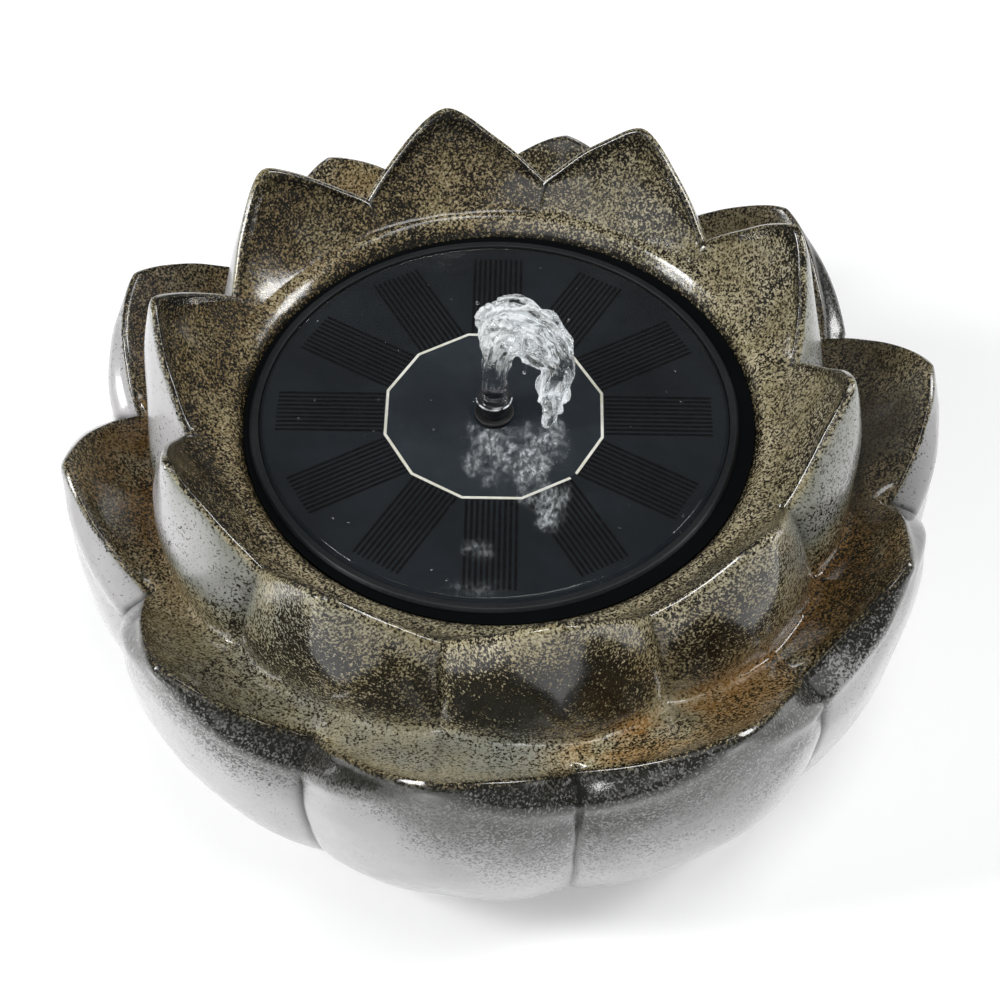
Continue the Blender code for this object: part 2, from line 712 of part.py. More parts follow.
def main():
    make_lotus_bowl()
    pump = make_empty("pump_lift_axis", PUMP_AXIS)
    nozzle = make_empty("nozzle_pull_axis", (0, 0, 0), pump)
    strainer = make_empty("strainer_turn_axis", (0, 0, 0), pump)
    rotor = make_empty("rotor_spin_axis", (ROTOR_OFFSET, 0, 0), pump)
    make_float_shell(pump)
    make_panel(pump)
    make_nozzle_grommet(pump)
    make_nozzle(nozzle)
    make_pump_housing(pump)
    for index in range(SCREW_COUNT):
        make_housing_screw(index, pump)
    make_motor(pump)
    make_leads(pump)
    make_shaft_and_seats(pump)
    make_impeller_cover(pump)
    make_rotor(rotor)
    make_strainer(strainer)


clear_scene()
PARTS = new_collection(COLLECTION_NAME)
CUTTERS = new_collection("cutters")
MATERIALS = {name: make_material(name) for name in COLOURS}
main()
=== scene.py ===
"""Looks of the solar lotus fountain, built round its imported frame.

Metres, +Z up, in the frame's own coordinates. The glazed bowl, the solar disc's visible parts and
the water are modelled here; the sealed inner parts keep their frame meshes and get materials.
"""

import random
from math import atan2, cos, exp, pi, radians, sin, sqrt

import bmesh
import bpy
import numpy as np
from mathutils import Matrix, Vector, kdtree, noise


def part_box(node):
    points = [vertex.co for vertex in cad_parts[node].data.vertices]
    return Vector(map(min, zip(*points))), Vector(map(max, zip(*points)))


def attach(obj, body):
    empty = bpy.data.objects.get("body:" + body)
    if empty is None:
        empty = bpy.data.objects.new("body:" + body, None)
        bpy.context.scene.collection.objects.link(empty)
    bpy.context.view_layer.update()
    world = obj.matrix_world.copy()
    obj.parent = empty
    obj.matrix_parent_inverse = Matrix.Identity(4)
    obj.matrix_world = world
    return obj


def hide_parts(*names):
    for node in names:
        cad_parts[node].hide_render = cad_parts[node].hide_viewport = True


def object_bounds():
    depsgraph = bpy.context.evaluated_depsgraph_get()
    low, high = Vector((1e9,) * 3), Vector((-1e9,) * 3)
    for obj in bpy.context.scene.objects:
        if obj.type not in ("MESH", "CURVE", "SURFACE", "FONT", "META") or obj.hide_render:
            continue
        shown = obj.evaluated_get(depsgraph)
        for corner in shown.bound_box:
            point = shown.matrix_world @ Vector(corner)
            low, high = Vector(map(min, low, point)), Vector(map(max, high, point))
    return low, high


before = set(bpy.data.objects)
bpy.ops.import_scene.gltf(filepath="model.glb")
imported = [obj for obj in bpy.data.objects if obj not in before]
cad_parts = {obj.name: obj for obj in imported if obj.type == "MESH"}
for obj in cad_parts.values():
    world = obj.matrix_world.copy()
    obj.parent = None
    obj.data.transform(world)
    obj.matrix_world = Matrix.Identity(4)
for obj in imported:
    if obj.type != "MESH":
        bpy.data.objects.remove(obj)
CAD_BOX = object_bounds()

# Driving places, read from the frame.
LAMINATE_LOW, LAMINATE_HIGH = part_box("clear_laminate")
FLOAT_LOW, FLOAT_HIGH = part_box("float_shell")
WATERLINE = LAMINATE_HIGH.z
FLOAT_RADIUS = (FLOAT_HIGH.x - FLOAT_LOW.x) / 2
PANEL_RADIUS = (LAMINATE_HIGH.x - LAMINATE_LOW.x) / 2
PUMP_AXIS = Vector(((FLOAT_LOW.x + FLOAT_HIGH.x) / 2, (FLOAT_LOW.y + FLOAT_HIGH.y) / 2, WATERLINE))
HOLE_RADIUS = 0.0063

# Bowl, the same form as the frame's solid. Heights are above the ground.
PETALS = 10
HALF_PETAL_STEPS = 24
STEPS_PER_SPAN = 4
OUTER_TIP_ANGLE = radians(9)
INNER_TIP_ANGLE = radians(27)
INNER_CENTRE = Vector((-0.0032, -0.0015, 0.0))
BASIN_RADIUS = 0.0825
BASIN_SHIFT = (0.0006, 0.0006)
BASIN_FLOOR = WATERLINE - 0.050
COLLAR_RADIUS = 0.0915
INNER_TIP = (0.1100, WATERLINE + 0.036)
INNER_NOTCH = (0.0998, WATERLINE + 0.008)
INNER_RISE = 0.005
VALLEY_RADIUS = 0.1165
VALLEY_HEIGHT = WATERLINE - 0.022
VALLEY_TILT = 0.007
OUTER_TIP = (0.1430, WATERLINE + 0.001)
OUTER_NOTCH = (0.1280, WATERLINE - 0.022)
OUTER_TILT = 0.006
OUTER_DROP = 0.002
OUTER_REACH = (0.0, -0.0015, -0.0005, 0.0005, 0.0020, 0.0, 0.0020, 0.0025, 0.0005, -0.0045)
RIM_HALF = 0.0017
PETAL_CUP = 0.0018
PETAL_BULGE = 0.0026
PETAL_SAG = 0.0035
SEAM_DEPTH = 0.0065
INNER_LINE = 0.0011
OUTER_LINE = 0.0009
FOOT_OUTER = 0.098
FOOT_INNER = 0.088
# Hand-made unevenness: how fine and how deep each layer of noise is, and the seed.
UNEVEN = ((26, 0.0010), (75, 0.0004))
UNEVEN_SEED = 7

# The bowl's outer wall: share of the drop from rim to ground, radius, and depth of the seam there.
OUTER_WALL = (
    (0.05, 0.1446, 1.2),
    (0.12, 0.1449, 1.2),
    (0.24, 0.1452, 1.0),
    (0.44, 0.1434, 1.0),
    (0.64, 0.1386, 1.0),
    (0.82, 0.1298, 0.9),
    (0.94, 0.1165, 0.5),
)

# Its underside: radius, height, and share, which is 0 about the basin's centre and 1 about the
# outer petals' centre.
UNDERSIDE = (
    (0.0900, 0.0010, 1.0),
    (0.1080, 0.0140, 1.0),
    (0.1220, 0.0320, 1.0),
    (0.1285, 0.0560, 1.0),
    (0.1240, 0.0700, 1.0),
    (0.1110, 0.0740, 0.5),
    (0.1000, 0.0980, 0.1),
    (0.0905, 0.0920, 0.0),
    (0.0895, 0.0680, 0.0),
    (0.0800, 0.0540, 0.0),
)

# How the glaze changes round the bowl: pairs of a direction in degrees, from +X towards +Y, and a
# share. Backs of the inner petals that are pale, partly pale glaze and partly, on the left, a painted
# reflection of a softbox; brown in their faces; amber in the valley; darkness in the valley and on the
# outer petals' faces, partly dark glaze and partly painted shade; and how far down the outer wall the
# specks reach.
# fmt: off
PALE_BACKS_AND_REFLECTION = (
    (0, 0.5), (40, 0.3), (120, 0.35), (146, 1.0), (172, 1.0), (200, 1.0), (214, 0.6), (232, 0.25),
    (262, 0.05), (300, 0.0), (330, 0.35),
)
BROWN_FACES = (
    (0, 0.30), (30, 0.15), (60, 0.2), (95, 0.7), (130, 0.9), (165, 1.0), (200, 0.8), (240, 0.4),
)
AMBER = (
    (0, 0.35), (30, 0.3), (70, 0.1), (140, 0.7), (160, 0.9), (192, 0.95), (205, 0.3), (225, 0.0),
    (270, 0.0), (286, 0.85), (308, 0.95), (335, 1.0),
)
DARK_GLAZE_AND_SHADE = (
    (0, 0.95), (25, 0.9), (60, 0.3), (120, 0.2), (150, 0.55), (190, 0.6), (215, 0.35), (232, 0.1),
    (250, 0.0), (285, 0.0), (305, 0.35), (325, 0.75),
)
SPECKED_WALL = (
    (9, 0.04), (30, 0.2), (80, 0.25), (130, 0.2), (153, 0.07), (178, 0.03), (196, 0.04), (208, 0.06),
    (216, 0.16), (226, 0.27), (240, 0.27), (247, 0.12), (254, 0.18), (263, 0.58), (279, 0.66),
    (300, 0.66), (311, 0.36), (318, 0.10), (333, 0.30), (350, 0.08),
)
# fmt: on

# Values stored on the bowl's mesh, which its material reads.
GLAZE_DRIVERS = ("pale", "dense", "brown", "amber", "dark_glaze_and_shade", "seam")

# Solar panel.
CELL_COUNT = 12
CELL_TURN = radians(13.9)
RIBBON_RADIUS = 0.0365
RIBBON_HALF_WIDTH = 0.00048
RIBBON_GAP_CORNER = 10
FINGER_COUNT = 10
FINGER_PITCH = 0.00177
FINGER_WIDTH = 0.00092
FINGER_END = 0.0712
RIBBON_FLAT = RIBBON_RADIUS * cos(pi / CELL_COUNT)
CELLS_START = RIBBON_FLAT + 0.0008
FINGERS_START = RIBBON_FLAT + RIBBON_HALF_WIDTH + 0.0003

# Layers under the panel's top face.
LAMINATE_BACK = -0.0008
RIBBON_TOP = -0.0010
RIBBON_BACK = -0.0015
FINGER_TOP = -0.00100
FINGER_BACK = -0.00108
BOARD_TOP = -0.00113
BOARD_LOW = -0.0028
DISC_STEPS = 192
STUB_STEPS = 96


# ---- small helpers


def mix(first, second, share):
    return first + (second - first) * share


def mix_points(first, second, share):
    return mix(first[0], second[0], share), mix(first[1], second[1], share)


def polar(radius, angle):
    return radius * cos(angle), radius * sin(angle)


def smoothstep(low, high, value):
    share = min(1.0, max(0.0, (value - low) / (high - low)))
    return share * share * (3 - 2 * share)


def show(name, data):
    piece = bpy.data.objects.new(name, data)
    bpy.context.scene.collection.objects.link(piece)
    return piece


def link(mesh, material):
    """A new object with this mesh, of the mesh's name."""
    mesh.materials.append(material)
    return show(mesh.name, mesh)


def smooth(mesh, angle=35):
    mesh.shade_smooth()
    mesh.set_sharp_from_angle(angle=radians(angle))


def add_face(shape, corners):
    """Adds a face, with a corner that comes twice used once. Under three corners there is none."""
    face = list(dict.fromkeys(corners))
    if len(face) > 2:
        shape.faces.new(face)


def finished(shape, name):
    """The bmesh as a named mesh, with its faces turned outwards."""
    bmesh.ops.recalc_face_normals(shape, faces=shape.faces)
    mesh = bpy.data.meshes.new(name)
    shape.to_mesh(mesh)
    shape.free()
    return mesh


def on_panel(x, y, height):
    """A place given from the middle of the panel's top face."""
    return PUMP_AXIS + Vector((x, y, height))


def curve_through(points, spans):
    """Points on a smooth curve through the given tuples of numbers, with so many steps to each span."""
    values = np.array(points, float)
    ends = np.vstack([2 * values[0] - values[1], values, 2 * values[-1] - values[-2]])
    found = []
    for index in range(len(values) - 1):
        before, start, end, after = ends[index : index + 4]
        square = 2 * before - 5 * start + 4 * end - after
        cube = 3 * start - before - 3 * end + after
        for step in range(spans):
            share = step / spans
            found.append(0.5 * (2 * start + (end - before) * share + square * share**2 + cube * share**3))
    found.append(values[-1])
    return found


# ---- material helpers


class Looks:
    """A new material's node tree, with short calls to add nodes to it."""

    def __init__(self, name):
        self.material = bpy.data.materials.new(name)
        self.material.use_nodes = True
        self.tree = self.material.node_tree
        self.shader = self.tree.nodes["Principled BSDF"]
        self.output = self.tree.nodes["Material Output"]
        self.place = self.tree.nodes.new("ShaderNodeTexCoord").outputs["Object"]

    def put(self, socket, value):
        if isinstance(value, bpy.types.NodeSocket):
            self.tree.links.new(value, socket)
        else:
            socket.default_value = value

    def set(self, **values):
        """Sets the shader's own sockets, named with _ for a space."""
        for name, value in values.items():
            self.put(self.shader.inputs[name.replace("_", " ")], value)

    def node(self, kind, **values):
        """A new node with its inputs set. Their names have _ for a space."""
        node = self.tree.nodes.new("ShaderNode" + kind)
        for name, value in values.items():
            self.put(node.inputs[name.replace("_", " ")], value)
        return node

    def attribute(self, name, output="Fac"):
        node = self.node("Attribute")
        node.attribute_name = name
        return node.outputs[output]

    def noise(self, scale, detail=2.0, roughness=0.5, stretch=None, distortion=0.0, place=None):
        place = place or self.place
        if stretch:
            place = self.node("Mapping", Vector=place, Scale=stretch).outputs["Vector"]
        settings = {"Scale": scale, "Detail": detail, "Roughness": roughness, "Distortion": distortion}
        return self.node("TexNoise", Vector=place, **settings).outputs["Fac"]

    def cells(self, scale, output="Distance"):
        """Small cells: the distance to a cell's middle, or as "Color" a random share for each cell."""
        return self.node("TexVoronoi", Vector=self.place, Scale=scale).outputs[output]

    def maths(self, operation, first, second):
        node = self.node("Math")
        node.operation = operation
        self.put(node.inputs[0], first)
        self.put(node.inputs[1], second)
        return node.outputs[0]

    def add(self, first, second):
        return self.maths("ADD", first, second)

    def less(self, first, second):
        return self.maths("SUBTRACT", first, second)

    def times(self, first, second):
        return self.maths("MULTIPLY", first, second)

    def spread(self, value, low, high, to_low=0.0, to_high=1.0):
        """Maps low..high to to_low..to_high, smoothly, and clamps."""
        ends = {"From_Min": low, "From_Max": high, "To_Min": to_low, "To_Max": to_high}
        node = self.node("MapRange", Value=value, **ends)
        node.interpolation_type = "SMOOTHSTEP"
        return node.outputs["Result"]

    def blend(self, share, first, second):
        """A colour between two colours, each a tuple or a socket."""
        node = self.node("Mix")
        node.data_type = "RGBA"
        self.put(node.inputs[0], share)
        for socket, value in ((node.inputs[6], first), (node.inputs[7], second)):
            self.put(socket, (*value, 1.0) if isinstance(value, tuple) else value)
        return node.outputs[2]

    def bump(self, height, distance, strength=1.0):
        node = self.node("Bump", Height=height, Distance=distance, Strength=strength)
        self.put(self.shader.inputs["Normal"], node.outputs["Normal"])
        return node.outputs["Normal"]

    def join(self, share, first, second):
        """A shader between two shaders."""
        node = self.node("MixShader")
        for socket, value in zip(node.inputs, (share, first, second)):
            self.put(socket, value)
        return node.outputs[0]

    def end_in(self, shader):
        """Makes this shader the material's surface, and returns the material."""
        self.put(self.output.inputs["Surface"], shader)
        return self.material


def glaze_looks():
    """Speckled gloss glaze: dark specks on beige, brown or amber, running out to pale grey in places.

    The bowl's mesh carries the drivers: dense is how thick the specks lie. On the left petals' backs
    the pale grey is partly a painted reflection, and the darkness is partly painted shade.
    """
    looks = Looks("stoneware_glaze")
    blend, spread, add, less, times = looks.blend, looks.spread, looks.add, looks.less, looks.times
    pale, dense, brown = (looks.attribute(name) for name in ("pale", "dense", "brown"))
    amber, dark_glaze_and_shade, seam = (looks.attribute(name) for name in ("amber", "dark_glaze_and_shade", "seam"))
    wander = looks.noise(1380, 2.5, 0.62)
    grain = times(looks.cells(1250, "Color"), 0.30)
    grain = add(grain, times(wander, 0.98))
    grain = add(less(grain, 0.64), 0.5)
    patches = looks.noise(55, 3.0, 0.6)
    clouds = looks.noise(17, 3.0, 0.6)
    unrest = add(less(patches, 0.5), less(clouds, 0.5))
    # Specks: where the grain is below the line. The line follows dense, and wanders.
    line = add(times(dense, 0.52), times(unrest, 0.30))
    above = less(grain, add(line, 0.22))
    # Ground colours.
    ground = blend(spread(patches, 0.36, 0.66), (0.27, 0.235, 0.130), (0.54, 0.49, 0.345))
    ground = blend(spread(clouds, 0.42, 0.62, 0.0, 0.5), ground, (0.31, 0.32, 0.22))
    browned = times(brown, spread(patches, 0.25, 0.60, 0.40, 0.95))
    ground = blend(browned, ground, (0.195, 0.125, 0.040))
    rust = times(amber, spread(looks.noise(48, 3.0, 0.6), 0.30, 0.52))
    ground = blend(rust, ground, (0.34, 0.150, 0.016))
    ground = blend(spread(above, 0.12, 0.26, 0.0, 0.35), ground, (0.72, 0.66, 0.47))
    ragged = add(pale, times(unrest, 0.55))
    ground = blend(spread(ragged, 0.10, 0.45), ground, (0.27, 0.28, 0.24))
    ground = blend(spread(ragged, 0.35, 0.85), ground, (0.50, 0.49, 0.495))
    # From speck through a brown edge to the ground.
    fringe = blend(spread(pale, 0.2, 0.8), (0.085, 0.062, 0.028), (0.20, 0.20, 0.185))
    speck = blend(spread(pale, 0.3, 0.9), (0.007, 0.006, 0.004), (0.026, 0.027, 0.024))
    colour = blend(spread(above, -0.05, 0.03), speck, fringe)
    colour = blend(spread(above, 0.0, 0.11), colour, ground)
    # Darkening by the darkness driver: partly dark glaze, as below the outer rims, and partly painted
    # shade, as in the basin, in the valley and on the front of the outer wall.
    shade = times(dark_glaze_and_shade, spread(unrest, -0.20, 0.20, 1.0, 0.55))
    colour = blend(shade, colour, (0.012, 0.0115, 0.008))
    colour = blend(times(seam, 0.85), colour, (0.030, 0.030, 0.026))
    looks.set(Base_Color=colour, Roughness=spread(patches, 0.3, 0.7, 0.13, 0.22))
    looks.set(IOR=1.48, Coat_Weight=0.35, Coat_Roughness=0.09, Coat_IOR=1.5)
    height = add(times(wander, 0.25), looks.noise(170, 2.0, 0.5))
    looks.bump(height, 0.00040, 0.55)
    return looks.material


def black_plastic_looks(name="black_plastic", wet=0.0):
    """Moulded black plastic with a fine spark texture, glossier where it is wet."""
    looks = Looks(name)
    grain = looks.noise(2600, 2.0, 0.6)
    handled = looks.noise(60, 3.0, 0.6)
    colour = looks.blend(looks.spread(handled, 0.35, 0.7), (0.010, 0.010, 0.013), (0.020, 0.019, 0.024))
    looks.set(Base_Color=colour, Roughness=looks.spread(handled, 0.3, 0.7, 0.30 - wet, 0.44 - wet))
    looks.set(Coat_Weight=0.3 + wet, Coat_Roughness=0.12)
    looks.bump(grain, 0.00006, 0.35)
    return looks.material


def rubber_looks():
    looks = Looks("black_rubber")
    dust = looks.noise(140, 4.0, 0.65)
    colour = looks.blend(looks.spread(dust, 0.4, 0.7), (0.006, 0.006, 0.006), (0.015, 0.015, 0.014))
    looks.set(Base_Color=colour, Roughness=looks.spread(dust, 0.3, 0.7, 0.5, 0.75))
    looks.bump(looks.noise(1800, 2.0), 0.00005, 0.4)
    return looks.material


def silicon_looks(name, low, high):
    """Dark slate silicon with a faint crystal mottling."""
    looks = Looks(name)
    crystal = looks.cells(420)
    haze = looks.noise(35, 3.0, 0.6)
    colour = looks.blend(looks.spread(haze, 0.3, 0.7), low, high)
    colour = looks.blend(looks.spread(crystal, 0.2, 0.8, 0.0, 0.15), colour, (0.016, 0.018, 0.022))
    looks.set(Base_Color=colour, Roughness=looks.spread(haze, 0.3, 0.7, 0.30, 0.42), IOR=1.08)
    looks.bump(crystal, 0.00002, 0.2)
    return looks.material


def metal_looks(name, first, second, roughness, scale, stretch=None):
    """Metal with fine drawn or rolled lines and slight tarnish."""
    looks = Looks(name)
    lines = looks.noise(scale, 3.0, 0.6, stretch)
    colour = looks.blend(looks.spread(looks.noise(90, 3.0), 0.35, 0.65), first, second)
    looks.set(Base_Color=colour, Metallic=1.0)
    looks.set(Roughness=looks.spread(lines, 0.3, 0.7, roughness - 0.08, roughness + 0.10))
    looks.bump(lines, 0.00003, 0.3)
    return looks.material


def grainy_looks(name, first, second, roughness, scale, depth, coat=0.0):
    """A solid with a fine two-tone grain and matching relief: foam, ferrite, resin, board, plastic."""
    looks = Looks(name)
    grain = looks.noise(scale, 3.0, 0.6)
    broad = looks.noise(scale / 12, 2.0, 0.5)
    share = looks.spread(looks.add(grain, broad), 0.8, 1.2)
    looks.set(Base_Color=looks.blend(share, first, second), Coat_Weight=coat)
    looks.set(Roughness=looks.spread(grain, 0.3, 0.7, roughness - 0.06, roughness + 0.08))
    looks.bump(grain, depth, 0.5)
    return looks.material


def clear_gloss(looks, normal, face_on):
    """A shader that shows what is under it, with a mirror gloss over it that grows at grazing angles."""
    facing = looks.node("LayerWeight", Blend=0.5, Normal=normal).outputs["Facing"]
    share = looks.add(looks.times(looks.maths("POWER", facing, 5.0), 1 - face_on), face_on)
    gloss = looks.node("BsdfGlossy", Roughness=0.04, Normal=normal).outputs[0]
    return looks.join(share, looks.node("BsdfTransparent").outputs[0], gloss)


def clear_sheet_looks(name, ripple_scale, ripple_depth):
    """Clear gloss sheet, hardly rippled."""
    looks = Looks(name)
    normal = looks.bump(looks.noise(ripple_scale, 2.0, 0.5, distortion=0.6), ripple_depth, 0.8)
    return looks.end_in(clear_gloss(looks, normal, 0.005))


def water_looks():
    """Clear water, with streaks of white froth by an attribute for froth, which also paints a highlight
    as a white ring on the stub's lip. Lamps shine through it.
    """
    looks = Looks("fountain_water")
    veins = looks.noise(480, 3.5, 0.64, None, 0.6, looks.attribute("flow", "Vector"))
    share = looks.add(looks.times(looks.attribute("froth_and_highlight"), 0.17), veins)
    white = looks.spread(share, 0.54, 0.76, 0.0, 0.74)
    looks.set(Base_Color=(0.93, 0.95, 0.96, 1.0), IOR=1.333, Roughness=0.03)
    looks.set(Transmission_Weight=looks.less(1.0, white))
    looks.bump(veins, 0.0006, 0.7)
    lamp_ray = looks.node("LightPath").outputs["Is Shadow Ray"]
    clear = looks.node("BsdfTransparent", Color=(0.80, 0.82, 0.83, 1.0))
    return looks.end_in(looks.join(lamp_ray, looks.shader.outputs[0], clear.outputs[0]))


def still_water_looks():
    """Still basin water with a gloss, dark and nearly opaque: its near-black colour is painted shade in
    the basin round the disc.
    """
    looks = Looks("basin_water")
    ripples = looks.noise(90, 2.0, 0.5)
    # Painted shade: the water's colour is nearly black.
    looks.set(Base_Color=looks.blend(ripples, (0.0015, 0.0018, 0.002), (0.003, 0.0035, 0.004)))
    looks.set(Roughness=0.06, IOR=1.25, Alpha=0.9)
    looks.bump(ripples, 0.0002, 0.5)
    return looks.material


def splash_looks():
    """A thin film of water with streaks of froth: see-through but for its gloss and the froth."""
    looks = Looks("splash_film")
    veins = looks.spread(looks.noise(760, 4.0, 0.66, (1.0, 0.55, 1.0), 0.3), 0.42, 0.68, 0.10, 1.0)
    broad = looks.spread(looks.noise(190, 3.0, 0.60, None, 0.5), 0.34, 0.62, 0.15, 1.0)
    strength = looks.spread(looks.attribute("froth_and_highlight"), 0.05, 0.95, 0.0, 0.62)
    white = looks.times(looks.times(veins, broad), strength)
    normal = looks.bump(looks.noise(120, 2.0, 0.5, None, 0.8), 0.00022, 0.9)
    looks.set(Base_Color=(0.62, 0.66, 0.68, 1.0), Roughness=0.15, IOR=1.333)
    return looks.end_in(looks.join(white, clear_gloss(looks, normal, 0.026), looks.shader.outputs[0]))


# ---- lotus bowl


def petal_wave(angle, tip_angle):
    """0 on a petal's centre line, rising to 1 at the notch on either side of it."""
    turn = (angle - tip_angle) * PETALS / (2 * pi)
    return 2 * abs(turn - round(turn))


def pointed(wave, rounding):
    """Falls away from a petal's tip in a straight line, with the point itself rounded."""
    return (sqrt(wave**2 + rounding**2) - rounding) / (sqrt(1 + rounding**2) - rounding)


def petal_reach(angle):
    return OUTER_REACH[round((angle - OUTER_TIP_ANGLE) * PETALS / (2 * pi)) % PETALS]


def groove(distance, width):
    """1 in the middle of a narrow groove, 0 outside it."""
    return exp(-((distance / width) ** 2))


def bowl_angles():
    """Angles round the bowl, closest together at the petals' tips and at the notches."""
    half = pi / PETALS
    found = []
    for petal_half in range(2 * PETALS):
        for step in range(HALF_PETAL_STEPS):
            share = 0.5 - 0.5 * cos(pi * step / HALF_PETAL_STEPS)
            found.append(OUTER_TIP_ANGLE + half * (petal_half + share))
    return found


def around(table, angle):
    """The table's share in this direction, eased between its entries."""
    degrees = (angle * 180 / pi) % 360
    entries = list(table) + [(table[0][0] + 360, table[0][1])]
    if degrees < entries[0][0]:
        degrees += 360
    for (start, first), (end, second) in zip(entries, entries[1:]):
        if degrees <= end:
            return mix(first, second, smoothstep(0.0, 1.0, (degrees - start) / (end - start)))
    return table[0][1]


def bowl_section(angle):
    """The bowl's section at one angle, as three runs of points that meet at sharp corners.

    A point is radius, height, share, then the glaze's pale, dense, brown, amber and darkness, which is
    dark glaze and painted shade together. Share is 0 about the basin's centre and 1 about the outer
    petals' centre.
    """
    inner_wave = petal_wave(angle, INNER_TIP_ANGLE)
    outer_wave = 1 - inner_wave
    inner_fall = pointed(inner_wave, 0.12)
    outer_fall = outer_wave**1.35
    inner_notch = (INNER_NOTCH[0], INNER_NOTCH[1] + INNER_RISE * sin(angle) ** 2)
    inner_rim = mix_points(INNER_TIP, inner_notch, inner_fall)
    outer_rim = mix_points(OUTER_TIP, OUTER_NOTCH, outer_fall)
    petal_middle = 1 - outer_wave**2
    reach = petal_reach(angle) * petal_middle
    dip = OUTER_TILT * sin(angle) + OUTER_DROP * cos(angle) ** 2
    outer_rim = (outer_rim[0] + reach, outer_rim[1] - dip)
    basin = BASIN_RADIUS + BASIN_SHIFT[0] * cos(angle) + BASIN_SHIFT[1] * sin(angle)
    inner_seam = inner_wave**4
    outer_seam = SEAM_DEPTH * outer_wave**2.4
    valley = (VALLEY_RADIUS - 0.003 * inner_seam, VALLEY_HEIGHT - VALLEY_TILT * sin(angle))
    collar = (COLLAR_RADIUS, WATERLINE + 0.006 - 0.001 * inner_wave)
    inner_line = groove((1 - inner_wave) * INNER_NOTCH[0] * pi / PETALS, INNER_LINE)
    outer_line = groove((1 - outer_wave) * OUTER_NOTCH[0] * pi / PETALS, OUTER_LINE)
    front = max(0.0, -sin(angle)) ** 2
    # Pale backs: pale glaze, and on the left a painted reflection of a softbox.
    pale_glaze_and_reflection = around(PALE_BACKS_AND_REFLECTION, angle)
    brown = around(BROWN_FACES, angle)
    amber = around(AMBER, angle)
    dark_glaze_and_shade = around(DARK_GLAZE_AND_SHADE, angle)
    band = around(SPECKED_WALL, angle)
    edge = smoothstep(0.02, 0.14, band)

    # Basin floor and wall, and the collar round it.
    # Painted shade: the basin's floor and wall under the disc are darkened nearly to black, and the lip
    # by the waterline is darkened too.
    sunk = (0.0, 0.6, 0.6, 0.0, 0.97)
    top = [
        (0.0, BASIN_FLOOR, 0.0, *sunk),
        (BASIN_RADIUS - 0.024, BASIN_FLOOR, 0.0, *sunk),
        (BASIN_RADIUS - 0.012, BASIN_FLOOR, 0.0, *sunk),
        (basin, BASIN_FLOOR + 0.010, 0.0, *sunk),
        (basin, BASIN_FLOOR + 0.025, 0.0, *sunk),
        (basin, WATERLINE - 0.006, 0.0, *sunk),
        (basin + 0.0012, WATERLINE - 0.0012, 0.0, 0.0, 0.7, brown, 0.0, 0.55),
        (basin + 0.0036, WATERLINE + 0.0022, 0.0, 0.05, 0.50, brown, 0.0, 0.0),
        (COLLAR_RADIUS - 0.0025, WATERLINE + 0.0044, 0.0, 0.05, 0.45, 0.8 * brown, 0.0, 0.0),
        (*collar, 0.0, 0.0, 0.5, brown, 0.0, 0.1),
    ]
    # Face, rim and back of the inner petal.
    for share in (0.35, 0.7):
        radius, height = mix_points(collar, inner_rim, share)
        cup = PETAL_CUP * (1 - inner_seam) * sin(pi * share) - 0.0006 * inner_line
        bloom = 0.20 * max(0.0, cos(angle)) * share
        dense = 0.52 + 0.12 * share - bloom
        top.append((radius + cup, height, 0.0, bloom, dense, brown, 0.0, 0.12 + 0.1 * share))
    radius, height = inner_rim
    top += [
        (radius - RIM_HALF, height - 0.0010, 0.0, 0.0, 0.72, 0.5 * brown, 0.0, 0.25),
        (radius, height, 0.0, 0.1 * pale_glaze_and_reflection, 0.50, 0.4 * brown, 0.0, 0.05),
        (radius + RIM_HALF, height - 0.0014, 0.0, 0.9 * pale_glaze_and_reflection, 0.48 - 0.42 * pale_glaze_and_reflection, 0.1, 0.0, 0.0),
    ]
    for share, blotch in ((0.2, 0.16), (0.45, 0.34), (0.75, 0.16)):
        radius, height = mix_points(inner_rim, valley, share)
        bulge = PETAL_BULGE * (1 - inner_seam) * sin(pi * share) - 0.0008 * inner_line * (1 - 0.6 * front)
        back = radius + bulge + RIM_HALF * (1 - share)
        # The backs are paler here: pale glaze, and on the left petals a painted reflection.
        pale = min(1.0, 1.3 * pale_glaze_and_reflection * sin(pi * min(1.0, share + 0.15)))
        dense = 0.48 + 0.06 * front - 0.43 * pale + blotch * (1 - 0.8 * inner_seam) * (1 - pale) * front
        rust, dark = 0.3 * amber * share, 0.5 * dark_glaze_and_shade * share**2
        top.append((back, height, 0.2 * share, pale, dense, 0.10, rust, dark))
    # Valley, and face and rim of the outer petal.
    top.append((*valley, 0.3, 0.28 * front * (1 - amber), 0.44 - 0.18 * front, 0.3, amber, dark_glaze_and_shade))
    for share in (0.35, 0.7):
        radius, height = mix_points(valley, outer_rim, share)
        sag = PETAL_SAG * petal_middle * sin(pi * share)
        rust = amber * (1 - 0.5 * share)
        dark = dark_glaze_and_shade * (1 - 0.25 * share)
        light = 0.28 * front * (1 - amber)
        dense = 0.46 - 0.20 * front * (1 - amber)
        top.append((radius, height - sag, 0.3 + 0.7 * share, light, dense, 0.35, rust, dark))
    radius, height = outer_rim
    top += [
        (radius - RIM_HALF, height - 0.0008, 1.0, 0.0, 0.55, 0.3, 0.3 * amber, 0.5 * dark_glaze_and_shade),
        (radius, height, 1.0, 0.05, 0.6, 0.6, 0.0, 0.15 + 0.35 * edge),
        (radius + RIM_HALF, height - 0.0016, 1.0, 1.0 - 0.3 * edge, 0.60 * edge, 0.0, 0.0, 0.95 * edge),
    ]
